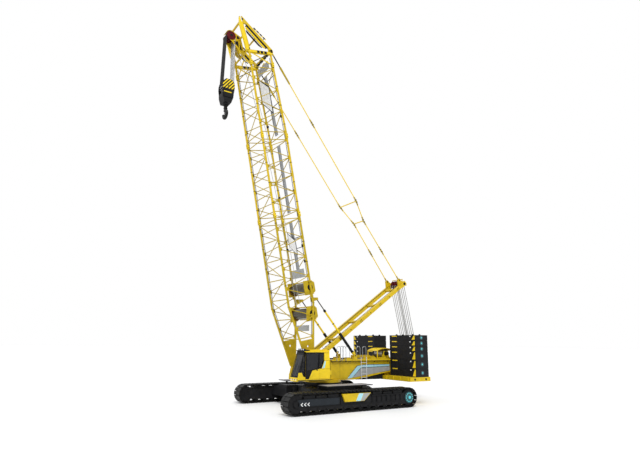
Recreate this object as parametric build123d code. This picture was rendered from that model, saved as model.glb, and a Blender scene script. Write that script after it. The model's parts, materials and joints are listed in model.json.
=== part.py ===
from build123d import *
import math
import os

# Crawler crane with lattice boom, at real size, in millimetres.
# +X points to the front, +Y to the operator's left, +Z up.
# The origin is on the ground, under the middle of the whole machine's outline.

# ---------------------------------------------------------------- crawlers
TRACK_GAUGE = 8350          # between the middles of the two crawlers
TRACK_HEIGHT = 1500
TRACK_LENGTH = 11670
SHOE_WIDTH = 1110
SHOE_COUNT = 72             # shoes on one crawler
SHOE_DEPTH = 60             # how far a shoe stands out of its chain
SHOE_SHARE = 0.84           # part of the pitch that a shoe fills
CHAIN_DEPTH = 100
RUN_GAP = 0.3               # running gap of pins, rollers and wheels
ROLLER_RADIUS = 190
ROLLER_COUNT = 12
CARRIER_COUNT = 4
BEAM_TOP = 1100             # top of a crawler's side beam
BEAM_HALF_WIDTH = 360
CHEEK = 40                  # plate on each side of the beam
HUB_RADIUS = 330
HUB_PROUD = 40              # hub past the cheek plate
IDLER_AXLE_RADIUS = 150

# ---------------------------------------------------------------- carbody
CARBODY_HALF_X = 1900
CARBODY_HALF_Y = 1750
CARBODY_LOW = 620
CARBODY_TOP = 1540
LEG_X = 2350                # leg's middle at the crawler
LEG_WIDTH = 900
RING_RADIUS = 1500
RING_TOP = 1800
DECK_PLATE_TOP = 1790
DECK_PLATE_THICK = 60

# ---------------------------------------------------------------- platform
PLATFORM_HALF_Y = 1050
PLATFORM_LOW = 1950
PLATFORM_TOP = 3550
PLATFORM_FRONT = 900
PLATFORM_FRONT_TOP = 3080
TAIL_SHEAVE_X = -9750
TAIL_WALL = 100             # rear wall behind the opening for the luffing ropes
ROPE_SLOT_X = (TAIL_SHEAVE_X - 650, TAIL_SHEAVE_X + 750)
PLATFORM_TAIL = ROPE_SLOT_X[0] - TAIL_WALL
TAIL_LOW = 2650
DECK_HALF_Y = 1250
DECK_THICK = 50
RING_UPPER_RADIUS = 1420
DECK_REAR = -6100
ROPE_SLOT_HALF_Y = 640
TAIL_SHEAVE_Z = 3250
TAIL_SHEAVE_RADIUS = 220
TAIL_AXLE_RADIUS = 60

# ---------------------------------------------------------------- boom
BOOM_FOOT_X = 2000
BOOM_FOOT_Z = 2700
BOOM_ANGLE = 78.5           # of the boom above the ground, as parked
BOOM_HALF_Y = 1440          # chord middles
BOOM_HALF_DEPTH = 1135
BOOM_BACK_HEAD = 850        # back chords from the boom's middle line at the head
CHORD_RADIUS = 88
STRUT_RADIUS = 36           # lacing across the boom
BRACE_RADIUS = 32           # slanted lacing
FOOT_TOP = 5200             # where the foot section reaches full depth
JOINT_1 = 12500             # pinned joint, foot section to middle section
JOINT_2 = 19200             # pinned joint, middle section to upper section
HEAD_START = 25500          # pinned joint, upper section to head
CHORD_END = 26500           # the chords end inside the head's side frames
PANEL = 1670                # length of one lattice panel
WELD_GAP = 0.3              # lacing stops this far short of a chord's skin
GUSSET = 190                # reach of a node's gusset from the chord's middle
GUSSET_THICK = 24
TAPER_START = 19600         # the back chords draw in from here to the head
SLEEVE = 180                # half length of a pinned joint's sleeve
END_PANEL = 330             # first lacing frame from a section's end

# ---------------------------------------------------------------- helpers


def block(x0, x1, y0, y1, z0, z1):
    """A box between two corners."""
    size = (abs(x1 - x0), abs(y1 - y0), abs(z1 - z0))
    middle = ((x0 + x1) / 2, (y0 + y1) / 2, (z0 + z1) / 2)
    return Pos(*middle) * Box(*size)


def plate(points, y0, y1):
    """An outline in X and Z, given as a list of points, extruded from y0 to y1."""
    face = Plane.XZ.offset(-y0) * make_face(Polyline(*points, close=True))
    return extrude(face, -(y1 - y0))


def rod(start, end, radius):
    """A round bar between two points."""
    a, b = Vector(*start), Vector(*end)
    axis = Plane(origin=a, z_dir=b - a)
    return Solid.make_cylinder(radius, (b - a).length, axis)


def drum(x, z, radius, y0, y1):
    """A cylinder across the machine."""
    return rod((x, y0, z), (x, y1, z), radius)


def join(shapes):
    """One solid out of a list of overlapping shapes."""
    first, *others = shapes
    return first.fuse(*others) if others else first


def placed(location, shapes):
    """One solid out of a list of shapes that are first moved to their place."""
    return join([location * s for s in shapes])


def write(name, *shapes):
    """One STEP file for one named piece."""
    solids = [s for shape in shapes for s in shape.solids()]
    export_step(Compound(children=solids) if len(solids) > 1 else solids[0], f"parts/{name}.step")


def mirrored(shape):
    return mirror(shape, about=Plane.XZ)


os.makedirs("parts", exist_ok=True)

# ---------------------------------------------------------------- crawlers
WHEEL_X = (TRACK_LENGTH - TRACK_HEIGHT) / 2
AXLE_Z = TRACK_HEIGHT / 2
CHAIN_INSIDE = AXLE_Z - SHOE_DEPTH - CHAIN_DEPTH    # radius of the loop's inside
TRACK_Y = TRACK_GAUGE / 2


def loop_point(s, radius):
    """Point at path length s of the loop, at a distance radius from its middle line."""
    straight = 2 * WHEEL_X
    arc = math.pi * AXLE_Z
    s = s % (2 * straight + 2 * arc)
    if s < straight:
        return (-WHEEL_X + s, AXLE_Z + radius)
    s -= straight
    if s < arc:
        a = s / AXLE_Z
        return (WHEEL_X + radius * math.sin(a), AXLE_Z + radius * math.cos(a))
    s -= arc
    if s < straight:
        return (WHEEL_X - s, AXLE_Z - radius)
    s -= straight
    a = s / AXLE_Z
    return (-WHEEL_X - radius * math.sin(a), AXLE_Z - radius * math.cos(a))


def track():
    length = 4 * WHEEL_X + 2 * math.pi * AXLE_Z
    pitch = length / SHOE_COUNT
    points = []
    for i in range(SHOE_COUNT):
        start = i * pitch
        end = start + SHOE_SHARE * pitch
        points += [loop_point(start, AXLE_Z - SHOE_DEPTH), loop_point(start, AXLE_Z),
                   loop_point(end, AXLE_Z), loop_point(end, AXLE_Z - SHOE_DEPTH)]
    outer = plate(points, TRACK_Y - SHOE_WIDTH / 2, TRACK_Y + SHOE_WIDTH / 2)
    core = block(-WHEEL_X, WHEEL_X, 0, 2 * TRACK_GAUGE, AXLE_Z - CHAIN_INSIDE, AXLE_Z + CHAIN_INSIDE)
    for x in (-WHEEL_X, WHEEL_X):
        core += drum(x, AXLE_Z, CHAIN_INSIDE, 0, 2 * TRACK_GAUGE)
    return outer - core


ROLLER_Z = AXLE_Z - CHAIN_INSIDE + ROLLER_RADIUS + RUN_GAP
BEAM_LOW = ROLLER_Z + ROLLER_RADIUS + 15
BEAM_END = WHEEL_X - CHAIN_INSIDE - 40
CHEEK_Y = BEAM_HALF_WIDTH + CHEEK
ROLLER_SPAN = 2 * BEAM_END - 3 * ROLLER_RADIUS


def side_frame():
    """Beam inside one crawler, with cheek plates that carry the rollers, sprocket and idler."""
    beam = block(-BEAM_END, BEAM_END, TRACK_Y - BEAM_HALF_WIDTH, TRACK_Y + BEAM_HALF_WIDTH, BEAM_LOW, BEAM_TOP)
    skirt = ROLLER_Z - 60
    outline = [(-WHEEL_X, AXLE_Z - 400), (-BEAM_END, skirt), (BEAM_END, skirt), (WHEEL_X, AXLE_Z - 260),
               (WHEEL_X, AXLE_Z + 260), (BEAM_END, BEAM_TOP), (-BEAM_END, BEAM_TOP), (-WHEEL_X, AXLE_Z + 400)]
    for y in (TRACK_Y - CHEEK_Y, TRACK_Y + BEAM_HALF_WIDTH):
        cheek = plate(outline, y, y + CHEEK)
        cheek += drum(-WHEEL_X, AXLE_Z, 400, y, y + CHEEK)
        cheek += drum(WHEEL_X, AXLE_Z, 260, y, y + CHEEK)
        beam += cheek
    beam -= drum(-WHEEL_X, AXLE_Z, HUB_RADIUS + RUN_GAP, 0, 2 * TRACK_GAUGE)
    beam -= drum(WHEEL_X, AXLE_Z, IDLER_AXLE_RADIUS + RUN_GAP, 0, 2 * TRACK_GAUGE)
    return beam


def sprocket():
    """Drive sprocket and the hub of its final drive."""
    half = BEAM_HALF_WIDTH - RUN_GAP
    wheel = drum(-WHEEL_X, AXLE_Z, CHAIN_INSIDE - RUN_GAP, TRACK_Y - half, TRACK_Y + half)
    hub = drum(-WHEEL_X, AXLE_Z, HUB_RADIUS, TRACK_Y - CHEEK_Y - 180, TRACK_Y + CHEEK_Y + HUB_PROUD)
    return wheel + hub


def idler():
    half = BEAM_HALF_WIDTH - RUN_GAP
    wheel = drum(WHEEL_X, AXLE_Z, CHAIN_INSIDE - RUN_GAP, TRACK_Y - half, TRACK_Y + half)
    axle = drum(WHEEL_X, AXLE_Z, IDLER_AXLE_RADIUS, TRACK_Y - CHEEK_Y - 20, TRACK_Y + CHEEK_Y + 20)
    return wheel + axle


def rollers():
    half = BEAM_HALF_WIDTH - RUN_GAP
    step = ROLLER_SPAN / (ROLLER_COUNT - 1)
    lower = [drum(-ROLLER_SPAN / 2 + i * step, ROLLER_Z, ROLLER_RADIUS, TRACK_Y - half, TRACK_Y + half)
             for i in range(ROLLER_COUNT)]
    radius = (AXLE_Z + CHAIN_INSIDE - BEAM_TOP) / 2 - RUN_GAP
    step = 2 * WHEEL_X / (CARRIER_COUNT + 1)
    upper = [drum(-WHEEL_X + (i + 1) * step, BEAM_TOP + RUN_GAP + radius, radius, TRACK_Y - 250, TRACK_Y + 250)
             for i in range(CARRIER_COUNT)]
    return lower + upper


COVER_Z = (740, 1290)       # outer cover plate, low and top edge
COVER_LOW_X = (-600, 1120)
COVER_TOP_X = (-1220, 1370)
COVER_THICK = TRACK_Y + SHOE_WIDTH / 2 - TRACK_Y - CHEEK_Y


def side_cover():
    low, high = COVER_Z
    outline = [(COVER_LOW_X[0], low), (COVER_LOW_X[1], low), (COVER_TOP_X[1], high), (COVER_TOP_X[0], high)]
    return plate(outline, TRACK_Y + CHEEK_Y, TRACK_Y + CHEEK_Y + COVER_THICK)


for side, turn in (("left", lambda s: s), ("right", mirrored)):
    write(f"track_{side}", turn(track()))
    write(f"track_frame_{side}", turn(side_frame()))
    write(f"drive_sprocket_{side}", turn(sprocket()))
    write(f"idler_{side}", turn(idler()))
    write(f"track_rollers_{side}", *[turn(r) for r in rollers()])
    write(f"track_cover_{side}", turn(side_cover()))

# ---------------------------------------------------------------- carbody
LEG_END = TRACK_Y - CHEEK_Y


def carbody():
    """Central box with four legs that reach the crawlers' beams."""
    body = block(-CARBODY_HALF_X, CARBODY_HALF_X, -CARBODY_HALF_Y, CARBODY_HALF_Y, CARBODY_LOW, CARBODY_TOP)
    for sx in (-1, 1):
        for sy in (-1, 1):
            x0, x1 = sx * (LEG_X - LEG_WIDTH / 2), sx * (LEG_X + LEG_WIDTH / 2)
            profile = [(CARBODY_HALF_Y - 600, CARBODY_LOW), (LEG_END, CARBODY_LOW), (LEG_END, BEAM_TOP),
                       (CARBODY_HALF_Y + 700, CARBODY_TOP), (CARBODY_HALF_Y - 600, CARBODY_TOP)]
            face = make_face(Polyline(*[(sy * y, z) for y, z in profile], close=True))
            body += extrude(Plane.YZ.offset(min(x0, x1)) * face, LEG_WIDTH)
    return body


write("carbody", carbody())

PLATE_X = (-2050, 2100)
PLATE_Y = (2500, 3900)
DECK_POST = 140


def carbody_deck():
    """Walking plates over the legs, on posts."""
    low = DECK_PLATE_TOP - DECK_PLATE_THICK
    deck = block(*PLATE_X, *PLATE_Y, low, DECK_PLATE_TOP)
    post_low = CARBODY_TOP - 150
    for x in (PLATE_X[0], PLATE_X[1] - DECK_POST):
        deck += block(x, x + DECK_POST, PLATE_Y[0], PLATE_Y[0] + 80, post_low, low)
    deck -= carbody()
    return deck


write("carbody_decks", carbody_deck(), mirrored(carbody_deck()))
write("slewing_ring", Solid.make_cylinder(RING_RADIUS, RING_TOP - CARBODY_TOP, Plane((0, 0, CARBODY_TOP))))

# ---------------------------------------------------------------- revolving platform
MAST_FOOT_X = 1200
MAST_FOOT_Z = 3680
MAST_Y = 850                # middle of each mast beam
MAST_BEAM_WIDTH = 350
MAST_BEAM_DEPTH = 300
MAST_PIN_RADIUS = 90
BOOM_PIN_RADIUS = 120
PIN_GAP = 0.1               # running gap round a pin
CHEEK_GAP = 6               # gap beside a lug that turns
LUG_THICK = 60
FOOT_PLATE_THICK = 120
CROSSBEAM_TOP = 2400
CROSSBEAM_X = (600, 2350)
FOOT_LUG_RADIUS = 280
RING_CLEARANCE = 0.5
BACKSTOP_X = -2300
BACKSTOP_Z = 3870
BACKSTOP_Y = 1200
BACKSTOP_SLEEVE_RADIUS = 110
BACKSTOP_LUG_THICK = 40
BACKSTOP_PIN_RADIUS = 50


def boom_foot_lugs(side):
    """Two lugs and their pin, each side of one foot of the boom."""
    outline = [(BOOM_FOOT_X - 450, CROSSBEAM_TOP - 50), (CROSSBEAM_X[1], CROSSBEAM_TOP - 50),
               (BOOM_FOOT_X + 250, BOOM_FOOT_Z + 130), (BOOM_FOOT_X - 250, BOOM_FOOT_Z + 130)]
    reach = FOOT_PLATE_THICK / 2 + CHEEK_GAP
    lugs = drum(BOOM_FOOT_X, BOOM_FOOT_Z, BOOM_PIN_RADIUS,
                side * (BOOM_HALF_Y - reach - LUG_THICK), side * (BOOM_HALF_Y + reach + LUG_THICK))
    for y in (BOOM_HALF_Y - reach - LUG_THICK, BOOM_HALF_Y + reach):
        low, high = sorted((side * y, side * (y + LUG_THICK)))
        lugs += plate(outline, low, high) + drum(BOOM_FOOT_X, BOOM_FOOT_Z, FOOT_LUG_RADIUS, low, high)
    return lugs


def mast_foot_lugs(side):
    """Bracket plates and pin at the foot of one mast beam."""
    outline = [(300, PLATFORM_TOP - 60), (PLATFORM_FRONT - 100, 2900), (MAST_FOOT_X, 3050),
               (MAST_FOOT_X + 200, MAST_FOOT_Z), (MAST_FOOT_X, MAST_FOOT_Z + 200), (MAST_FOOT_X - 200, MAST_FOOT_Z + 150)]
    reach = MAST_BEAM_WIDTH / 2 + CHEEK_GAP
    lugs = drum(MAST_FOOT_X, MAST_FOOT_Z, MAST_PIN_RADIUS,
                side * (MAST_Y - reach - LUG_THICK), side * (MAST_Y + reach + LUG_THICK))
    for y in (MAST_Y - reach - LUG_THICK, MAST_Y + reach):
        low, high = sorted((side * y, side * (y + LUG_THICK)))
        lugs += plate(outline, low, high) + drum(MAST_FOOT_X, MAST_FOOT_Z, 200, low, high)
    return lugs


def backstop_lugs(side):
    """Lugs and pin on the deck for one boom backstop."""
    outline = [(BACKSTOP_X - 250, PLATFORM_TOP - 100), (BACKSTOP_X + 250, PLATFORM_TOP - 100),
               (BACKSTOP_X + 110, BACKSTOP_Z), (BACKSTOP_X - 110, BACKSTOP_Z)]
    reach = BACKSTOP_EYE_HALF + CHEEK_GAP
    lugs = drum(BACKSTOP_X, BACKSTOP_Z, BACKSTOP_PIN_RADIUS,
                side * (BACKSTOP_Y - reach - BACKSTOP_LUG_THICK), side * (BACKSTOP_Y + reach + BACKSTOP_LUG_THICK))
    for y in (BACKSTOP_Y - reach - BACKSTOP_LUG_THICK, BACKSTOP_Y + reach):
        low, high = sorted((side * y, side * (y + BACKSTOP_LUG_THICK)))
        lugs += plate(outline, low, high) + drum(BACKSTOP_X, BACKSTOP_Z, 110, low, high)
    return lugs


BACKSTOP_EYE_HALF = 60


def platform():
    """Main frame of the revolving platform, with the lugs that carry boom, mast and backstops."""
    outline = [(PLATFORM_FRONT, PLATFORM_LOW), (-2500, PLATFORM_LOW), (-6200, 2500), (PLATFORM_TAIL, TAIL_LOW),
               (PLATFORM_TAIL, PLATFORM_TOP), (350, PLATFORM_TOP), (PLATFORM_FRONT, PLATFORM_FRONT_TOP)]
    body = plate(outline, -PLATFORM_HALF_Y, PLATFORM_HALF_Y)
    body += block(*CROSSBEAM_X, -BOOM_HALF_Y - 190, BOOM_HALF_Y + 190, PLATFORM_LOW, CROSSBEAM_TOP)
    body += Solid.make_cylinder(RING_UPPER_RADIUS, PLATFORM_LOW + 50 - RING_TOP - RING_CLEARANCE,
                                Plane((0, 0, RING_TOP + RING_CLEARANCE)))
    body += block(DECK_REAR, 0, -DECK_HALF_Y, DECK_HALF_Y, PLATFORM_TOP - DECK_THICK, PLATFORM_TOP)
    body -= block(*ROPE_SLOT_X, -ROPE_SLOT_HALF_Y, ROPE_SLOT_HALF_Y, TAIL_LOW - 200, PLATFORM_TOP + 10)
    body += drum(TAIL_SHEAVE_X, TAIL_SHEAVE_Z, TAIL_AXLE_RADIUS, -ROPE_SLOT_HALF_Y - 10, ROPE_SLOT_HALF_Y + 10)
    for side in (-1, 1):
        body += boom_foot_lugs(side)
        body += mast_foot_lugs(side)
        body += backstop_lugs(side)
    return body


write("platform_frame", platform())

# counterweights
TRAY_X = (-7740, -5530)
TRAY_HALF_Y = 4350
TRAY_LOW = 1870
TRAY_TOP = 2200
STACK_X = (-7590, -6210)
STACK_Y = (1080, 4330)
SLABS = (680, 680, 680, 450, 450, 450)    # heights, from the bottom
SLAB_GROOVE = 24


def stack():
    """One stack of slabs, with grooves where they meet."""
    z = TRAY_TOP
    pieces = []
    for height in SLABS:
        pieces.append(block(*STACK_X, *STACK_Y, z, z + height - SLAB_GROOVE))
        z += height
    groove = SLAB_GROOVE
    pieces.append(block(STACK_X[0] + groove, STACK_X[1] - groove, STACK_Y[0] + groove, STACK_Y[1] - groove,
                        TRAY_TOP, z - groove - 10))
    return join(pieces)


tray = block(*TRAY_X, -TRAY_HALF_Y, TRAY_HALF_Y, TRAY_LOW, TRAY_TOP)
tray += block(-7300, -5900, -700, 700, TRAY_TOP - 10, 3000)
write("counterweight_tray", tray - platform())
write("counterweights_left", stack())
write("counterweights_right", mirrored(stack()))

# luffing winch on the deck
WINCH_X = (-7000, -5100)
WINCH_HALF_Y = 700
WINCH_BASE = 80             # height of the winch's base
WINCH_CHEEK = 50
DRUM_Z = PLATFORM_TOP + 460
DRUM_RADIUS = 300
DRUM_FLANGE = 370
DRUM_SHAFT = 90
CANOPY_RISE = 230
CANOPY_TOP = 4480
CANOPY_THICK = 30
CANOPY_POST = 60
DRUM_X = sum(WINCH_X) / 2
winch = block(*WINCH_X, -WINCH_HALF_Y, WINCH_HALF_Y, PLATFORM_TOP, PLATFORM_TOP + WINCH_BASE)
cheek_low = PLATFORM_TOP + WINCH_BASE - 10
for y in (-WINCH_HALF_Y, WINCH_HALF_Y - WINCH_CHEEK):
    winch += plate([(DRUM_X - 450, cheek_low), (DRUM_X + 450, cheek_low), (DRUM_X + 200, DRUM_Z + 200),
                    (DRUM_X - 200, DRUM_Z + 200)], y, y + WINCH_CHEEK)
winch -= drum(DRUM_X, DRUM_Z, DRUM_SHAFT + RUN_GAP, -WINCH_HALF_Y - 10, WINCH_HALF_Y + 10)
write("luffing_winch", winch)

flange_y = WINCH_HALF_Y - WINCH_CHEEK - CHEEK_GAP
barrel = drum(DRUM_X, DRUM_Z, DRUM_RADIUS, -flange_y, flange_y)
barrel += drum(DRUM_X, DRUM_Z, DRUM_SHAFT, -WINCH_HALF_Y, WINCH_HALF_Y)
for y in (-flange_y, flange_y - 40):
    barrel += drum(DRUM_X, DRUM_Z, DRUM_FLANGE, y, y + 40)
write("luffing_drum", barrel)

# arched canopy over the luffing winch, on four posts
half_span = (WINCH_X[1] - WINCH_X[0]) / 2
arch_radius = (half_span ** 2 + CANOPY_RISE ** 2) / (2 * CANOPY_RISE)
arch_z = CANOPY_TOP - arch_radius
canopy = drum(DRUM_X, arch_z, arch_radius, -WINCH_HALF_Y, WINCH_HALF_Y)
canopy -= drum(DRUM_X, arch_z, arch_radius - CANOPY_THICK, -WINCH_HALF_Y - 10, WINCH_HALF_Y + 10)
canopy &= block(*WINCH_X, -WINCH_HALF_Y, WINCH_HALF_Y, CANOPY_TOP - CANOPY_RISE - CANOPY_THICK, CANOPY_TOP + 10)
post_top = CANOPY_TOP - CANOPY_RISE - CANOPY_THICK / 2
for x in (WINCH_X[0], WINCH_X[1] - CANOPY_POST):
    for y in (-WINCH_HALF_Y, WINCH_HALF_Y - CANOPY_POST):
        canopy += block(x, x + CANOPY_POST, y, y + CANOPY_POST, PLATFORM_TOP + WINCH_BASE + RUN_GAP, post_top)
write("winch_guard", canopy)

# ladder and handrails on the deck's left edge
LADDER_X = (-3480, -2920)
LADDER_LOW = 1950
RAIL_TOP = PLATFORM_TOP + 1090
RAIL_RADIUS = 21
LADDER_Y = DECK_HALF_Y + RAIL_RADIUS + RUN_GAP
RAIL_CLEARANCE = 14
FRONT_RAIL_Y = BACKSTOP_Y + BACKSTOP_SLEEVE_RADIUS + RAIL_CLEARANCE + RAIL_RADIUS
HANDRAILS = ((-1320, -430, FRONT_RAIL_Y), (-3480, -2500, DECK_HALF_Y - 35))      # two ends in X, and Y
RAIL_FOOT = (90, 25)            # width and thickness of the foot plate under each post
RUNG_STEP = 300
rungs = int((PLATFORM_TOP - LADDER_LOW - 200) / RUNG_STEP) + 1
ladder = [rod((x, LADDER_Y, LADDER_LOW), (x, LADDER_Y, PLATFORM_TOP + 180), RAIL_RADIUS) for x in LADDER_X]
ladder += [rod((LADDER_X[0], LADDER_Y, LADDER_LOW + 150 + i * RUNG_STEP),
               (LADDER_X[1], LADDER_Y, LADDER_LOW + 150 + i * RUNG_STEP), RAIL_RADIUS - 5) for i in range(rungs)]
write("access_ladder", join(ladder))


def handrail(x0, x1, y):
    """One hoop of tube with a middle rail."""
    low = PLATFORM_TOP + RUN_GAP
    pieces = [rod((x, y, low), (x, y, RAIL_TOP), RAIL_RADIUS) for x in (x0, x1)]
    pieces += [Solid.make_sphere(RAIL_RADIUS + 1, Plane((x, y, RAIL_TOP))) for x in (x0, x1)]
    pieces.append(rod((x0, y, RAIL_TOP), (x1, y, RAIL_TOP), RAIL_RADIUS - 2))
    pieces.append(rod((x0, y, low + 550), (x1, y, low + 550), RAIL_RADIUS - 4))
    width, thick = RAIL_FOOT
    side = 1 if y > 0 else -1
    inner, outer = sorted((side * (DECK_HALF_Y - width), y + side * (RAIL_RADIUS + 5)))
    pieces += [block(x - width / 2, x + width / 2, inner, outer, low, low + thick) for x in (x0, x1)]
    return join(pieces)


write("deck_handrails", *[handrail(x0, x1, side * y) for x0, x1, y in HANDRAILS for side in (1, -1)])

# engine housing on the right
HOUSE_X = (-4700, -600)
HOUSE_Y = (-2650, -1060)
HOUSE_Z = (2150, 3450)
HOUSE_WALL = 50
house = block(*HOUSE_X, *HOUSE_Y, *HOUSE_Z)
house -= block(HOUSE_X[0] + HOUSE_WALL, HOUSE_X[1] - HOUSE_WALL, HOUSE_Y[0] + HOUSE_WALL, HOUSE_Y[1] - HOUSE_WALL,
               HOUSE_Z[0] + HOUSE_WALL, HOUSE_Z[1] - HOUSE_WALL)
for i in range(8):
    x = HOUSE_X[0] + 500 + i * 420
    house -= block(x, x + 200, HOUSE_Y[0] - 10, HOUSE_Y[0] + 100, 2700, 3200)
write("engine_housing", house)
write("engine", block(-4200, -1600, -2300, -1400, HOUSE_Z[0] + HOUSE_WALL, 3200))

# ---------------------------------------------------------------- cab
CAB_Y = (1660, 2740)
CAB_WALL = 60
CAB_REAR = 1130
CAB_LOW = 2130
CAB_NOSE = (4030, 2300)     # lower front corner
CAB_ROOF = ((3430, 4270), (1200, 4300))
CAB_OUTLINE = [(CAB_REAR, CAB_LOW), (CAB_NOSE[0] - 180, CAB_LOW), CAB_NOSE, *CAB_ROOF]
PILLAR = 70
CAB_MOUNT_X = (300, 1700)
CAB_MOUNT_Z = (2450, 2750)
WINDOW_TOP = 4090
FRONT_GLASS_LOW = 2420
RIGHT_WINDOW_X = (1500, 3200)
RIGHT_WINDOW_LOW = 3000
REAR_WINDOW_LOW = 3100
SIDE_WINDOW = ((1720, 3400), (2080, 3110))      # slanted lower edge behind the door
DOOR_WINDOW_LOW = (3010, 2760)                  # lower edge of the door's glass, rear and front
GLASS = 10
DOOR_X = (2150, 3330)
DOOR_Z = (2250, 4190)
DOOR_THICK = 45
DOOR_GAP = 6
DOOR_RUN = 0.5              # running gap of the door in its rails


def inset(points, distance):
    """The outline moved inwards by a distance."""
    face = make_face(Polyline(*points, close=True))
    return offset(face, -distance, kind=Kind.INTERSECTION)


def cab_solid(distance, y0, y1):
    face = Plane.XZ.offset(-y0) * inset(CAB_OUTLINE, distance) if distance else None
    if face is None:
        return plate(CAB_OUTLINE, y0, y1)
    return extrude(face, -(y1 - y0))


inner_low, inner_high = CAB_Y[0] + CAB_WALL, CAB_Y[1] - CAB_WALL
shell = cab_solid(0, *CAB_Y) - cab_solid(CAB_WALL, inner_low, inner_high)
front_cut = plate([(DOOR_X[1] + PILLAR, FRONT_GLASS_LOW), (CAB_NOSE[0] + 100, FRONT_GLASS_LOW),
                   (CAB_NOSE[0] + 100, WINDOW_TOP), (DOOR_X[1] - PILLAR, WINDOW_TOP)],
                  CAB_Y[0] + PILLAR, CAB_Y[1] - PILLAR)
rear_cut = block(CAB_REAR - 100, CAB_REAR + 2 * CAB_WALL + 100, inner_low + 150, inner_high - 150, REAR_WINDOW_LOW, WINDOW_TOP)
right_cut = block(*RIGHT_WINDOW_X, CAB_Y[0] - 10, inner_low + 10, RIGHT_WINDOW_LOW, WINDOW_TOP)
door_cut = block(DOOR_X[0] + 60, DOOR_X[1] - 60, inner_high - 10, CAB_Y[1] + 10, DOOR_Z[0] + 60, DOOR_Z[1] - 60)
side_cut = plate([*SIDE_WINDOW, (SIDE_WINDOW[1][0], WINDOW_TOP), (SIDE_WINDOW[0][0], WINDOW_TOP)],
                 inner_high - 10, CAB_Y[1] + 10)
nose_slope = (CAB_NOSE[0] - CAB_ROOF[0][0]) / (CAB_ROOF[0][1] - CAB_NOSE[1])
quarter_x = DOOR_X[1] + PILLAR
quarter_z = (FRONT_GLASS_LOW + 220, FRONT_GLASS_LOW + 120, WINDOW_TOP - 160)
nose_x = [CAB_NOSE[0] - PILLAR - 5 - (z - CAB_NOSE[1]) * nose_slope for z in quarter_z]
quarter_cut = plate([(quarter_x, quarter_z[0]), (nose_x[1], quarter_z[1]), (nose_x[2], quarter_z[2]),
                     (quarter_x, quarter_z[2])], inner_high - 10, CAB_Y[1] + 10)
shell = shell - front_cut - rear_cut - right_cut - door_cut - side_cut - quarter_cut
shell += block(CAB_MOUNT_X[0], CAB_MOUNT_X[1], PLATFORM_HALF_Y, CAB_Y[0] + 20, *CAB_MOUNT_Z) - platform()
rail_y = (CAB_Y[1] - 10, CAB_Y[1] + DOOR_GAP + DOOR_THICK + 15)
shell += block(CAB_ROOF[1][0] + 50, DOOR_X[1], *rail_y, DOOR_Z[1] + DOOR_RUN, DOOR_Z[1] + 50)
shell += block(CAB_REAR + 50, DOOR_X[1], *rail_y, DOOR_Z[0] - 50, DOOR_Z[0] - DOOR_RUN)
write("cab_shell", shell)

glass_skin = cab_solid(20, inner_low - 20, inner_high + 20) - cab_solid(20 + GLASS, inner_low - 20 + GLASS, inner_high + 20 - GLASS)
panes = [glass_skin & cut for cut in (rear_cut, right_cut, side_cut, front_cut, quarter_cut)]
write("cab_glass", *panes)

door = block(*DOOR_X, CAB_Y[1] + DOOR_GAP, CAB_Y[1] + DOOR_GAP + DOOR_THICK, *DOOR_Z)
door_hole = plate([(DOOR_X[0] + 90, DOOR_WINDOW_LOW[0]), (DOOR_X[1] - 90, DOOR_WINDOW_LOW[1]),
                   (DOOR_X[1] - 90, DOOR_Z[1] - 90), (DOOR_X[0] + 90, DOOR_Z[1] - 90)], CAB_Y[1], CAB_Y[1] + 100)
write("cab_door", door - door_hole)
middle = CAB_Y[1] + DOOR_GAP + DOOR_THICK / 2
write("cab_door_glass", door_hole & block(*DOOR_X, middle - GLASS / 2, middle + GLASS / 2, *DOOR_Z))

SEAT_X = 2050               # rear of the cushion
SEAT_Y = (1980, 2480)
SEAT_TOP = 2650
BACKREST_TOP = 3350
cab_floor = CAB_LOW + CAB_WALL
seat = block(SEAT_X, SEAT_X + 500, *SEAT_Y, cab_floor, SEAT_TOP)
seat += block(SEAT_X - 100, SEAT_X + 80, *SEAT_Y, SEAT_TOP - 50, BACKREST_TOP)
write("cab_seat", seat)

# ---------------------------------------------------------------- boom
LEAN = 90 - BOOM_ANGLE
BOOM = Pos(BOOM_FOOT_X, 0, BOOM_FOOT_Z) * Rot(0, LEAN, 0)
FOOT_HALF_DEPTH = 200       # at the start of the foot section's chords
FOOT_START = 350
FOOT_WEB_TOP = 2300
WINCH_BAY = (2700, 7300)    # no lacing on the back face here: the winches fill it


def half_depth(u, face=1):
    """Distance of a chord from the boom's middle line, at a distance u along the boom."""
    share = min(max((u - FOOT_START) / (FOOT_TOP - FOOT_START), 0), 1)
    depth = FOOT_HALF_DEPTH + share * (BOOM_HALF_DEPTH - FOOT_HALF_DEPTH)
    if face < 0 and u > TAPER_START:
        depth -= (BOOM_HALF_DEPTH - BOOM_BACK_HEAD) * (u - TAPER_START) / (CHORD_END - TAPER_START)
    return depth


def chord_point(face, side, u):
    """Point on a chord: face +1 is the front, -1 the back; side +1 is the left."""
    return (face * half_depth(u, face), side * BOOM_HALF_Y, u)


def chord(face, side, start, end, radius, sleeves=()):
    """One chord, with a ball where it bends and sleeves at its pinned joints."""
    bends = [u for u in (FOOT_TOP, TAPER_START) if start < u < end and (u == FOOT_TOP or face < 0)]
    corners = [start, *bends, end]
    pieces = [rod(chord_point(face, side, a), chord_point(face, side, b), radius)
              for a, b in zip(corners, corners[1:])]
    pieces += [Solid.make_sphere(radius + 12, Plane(chord_point(face, side, u))) for u in bends]
    for u in sleeves:
        low, high = max(start, u - SLEEVE), min(end, u + SLEEVE)
        pieces.append(rod(chord_point(face, side, low), chord_point(face, side, high), radius + 25))
    return pieces


def section_chords(start, end):
    return [placed(BOOM, chord(face, side, start, end, CHORD_RADIUS, (start, end)))
            for face in (-1, 1) for side in (-1, 1)]


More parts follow.
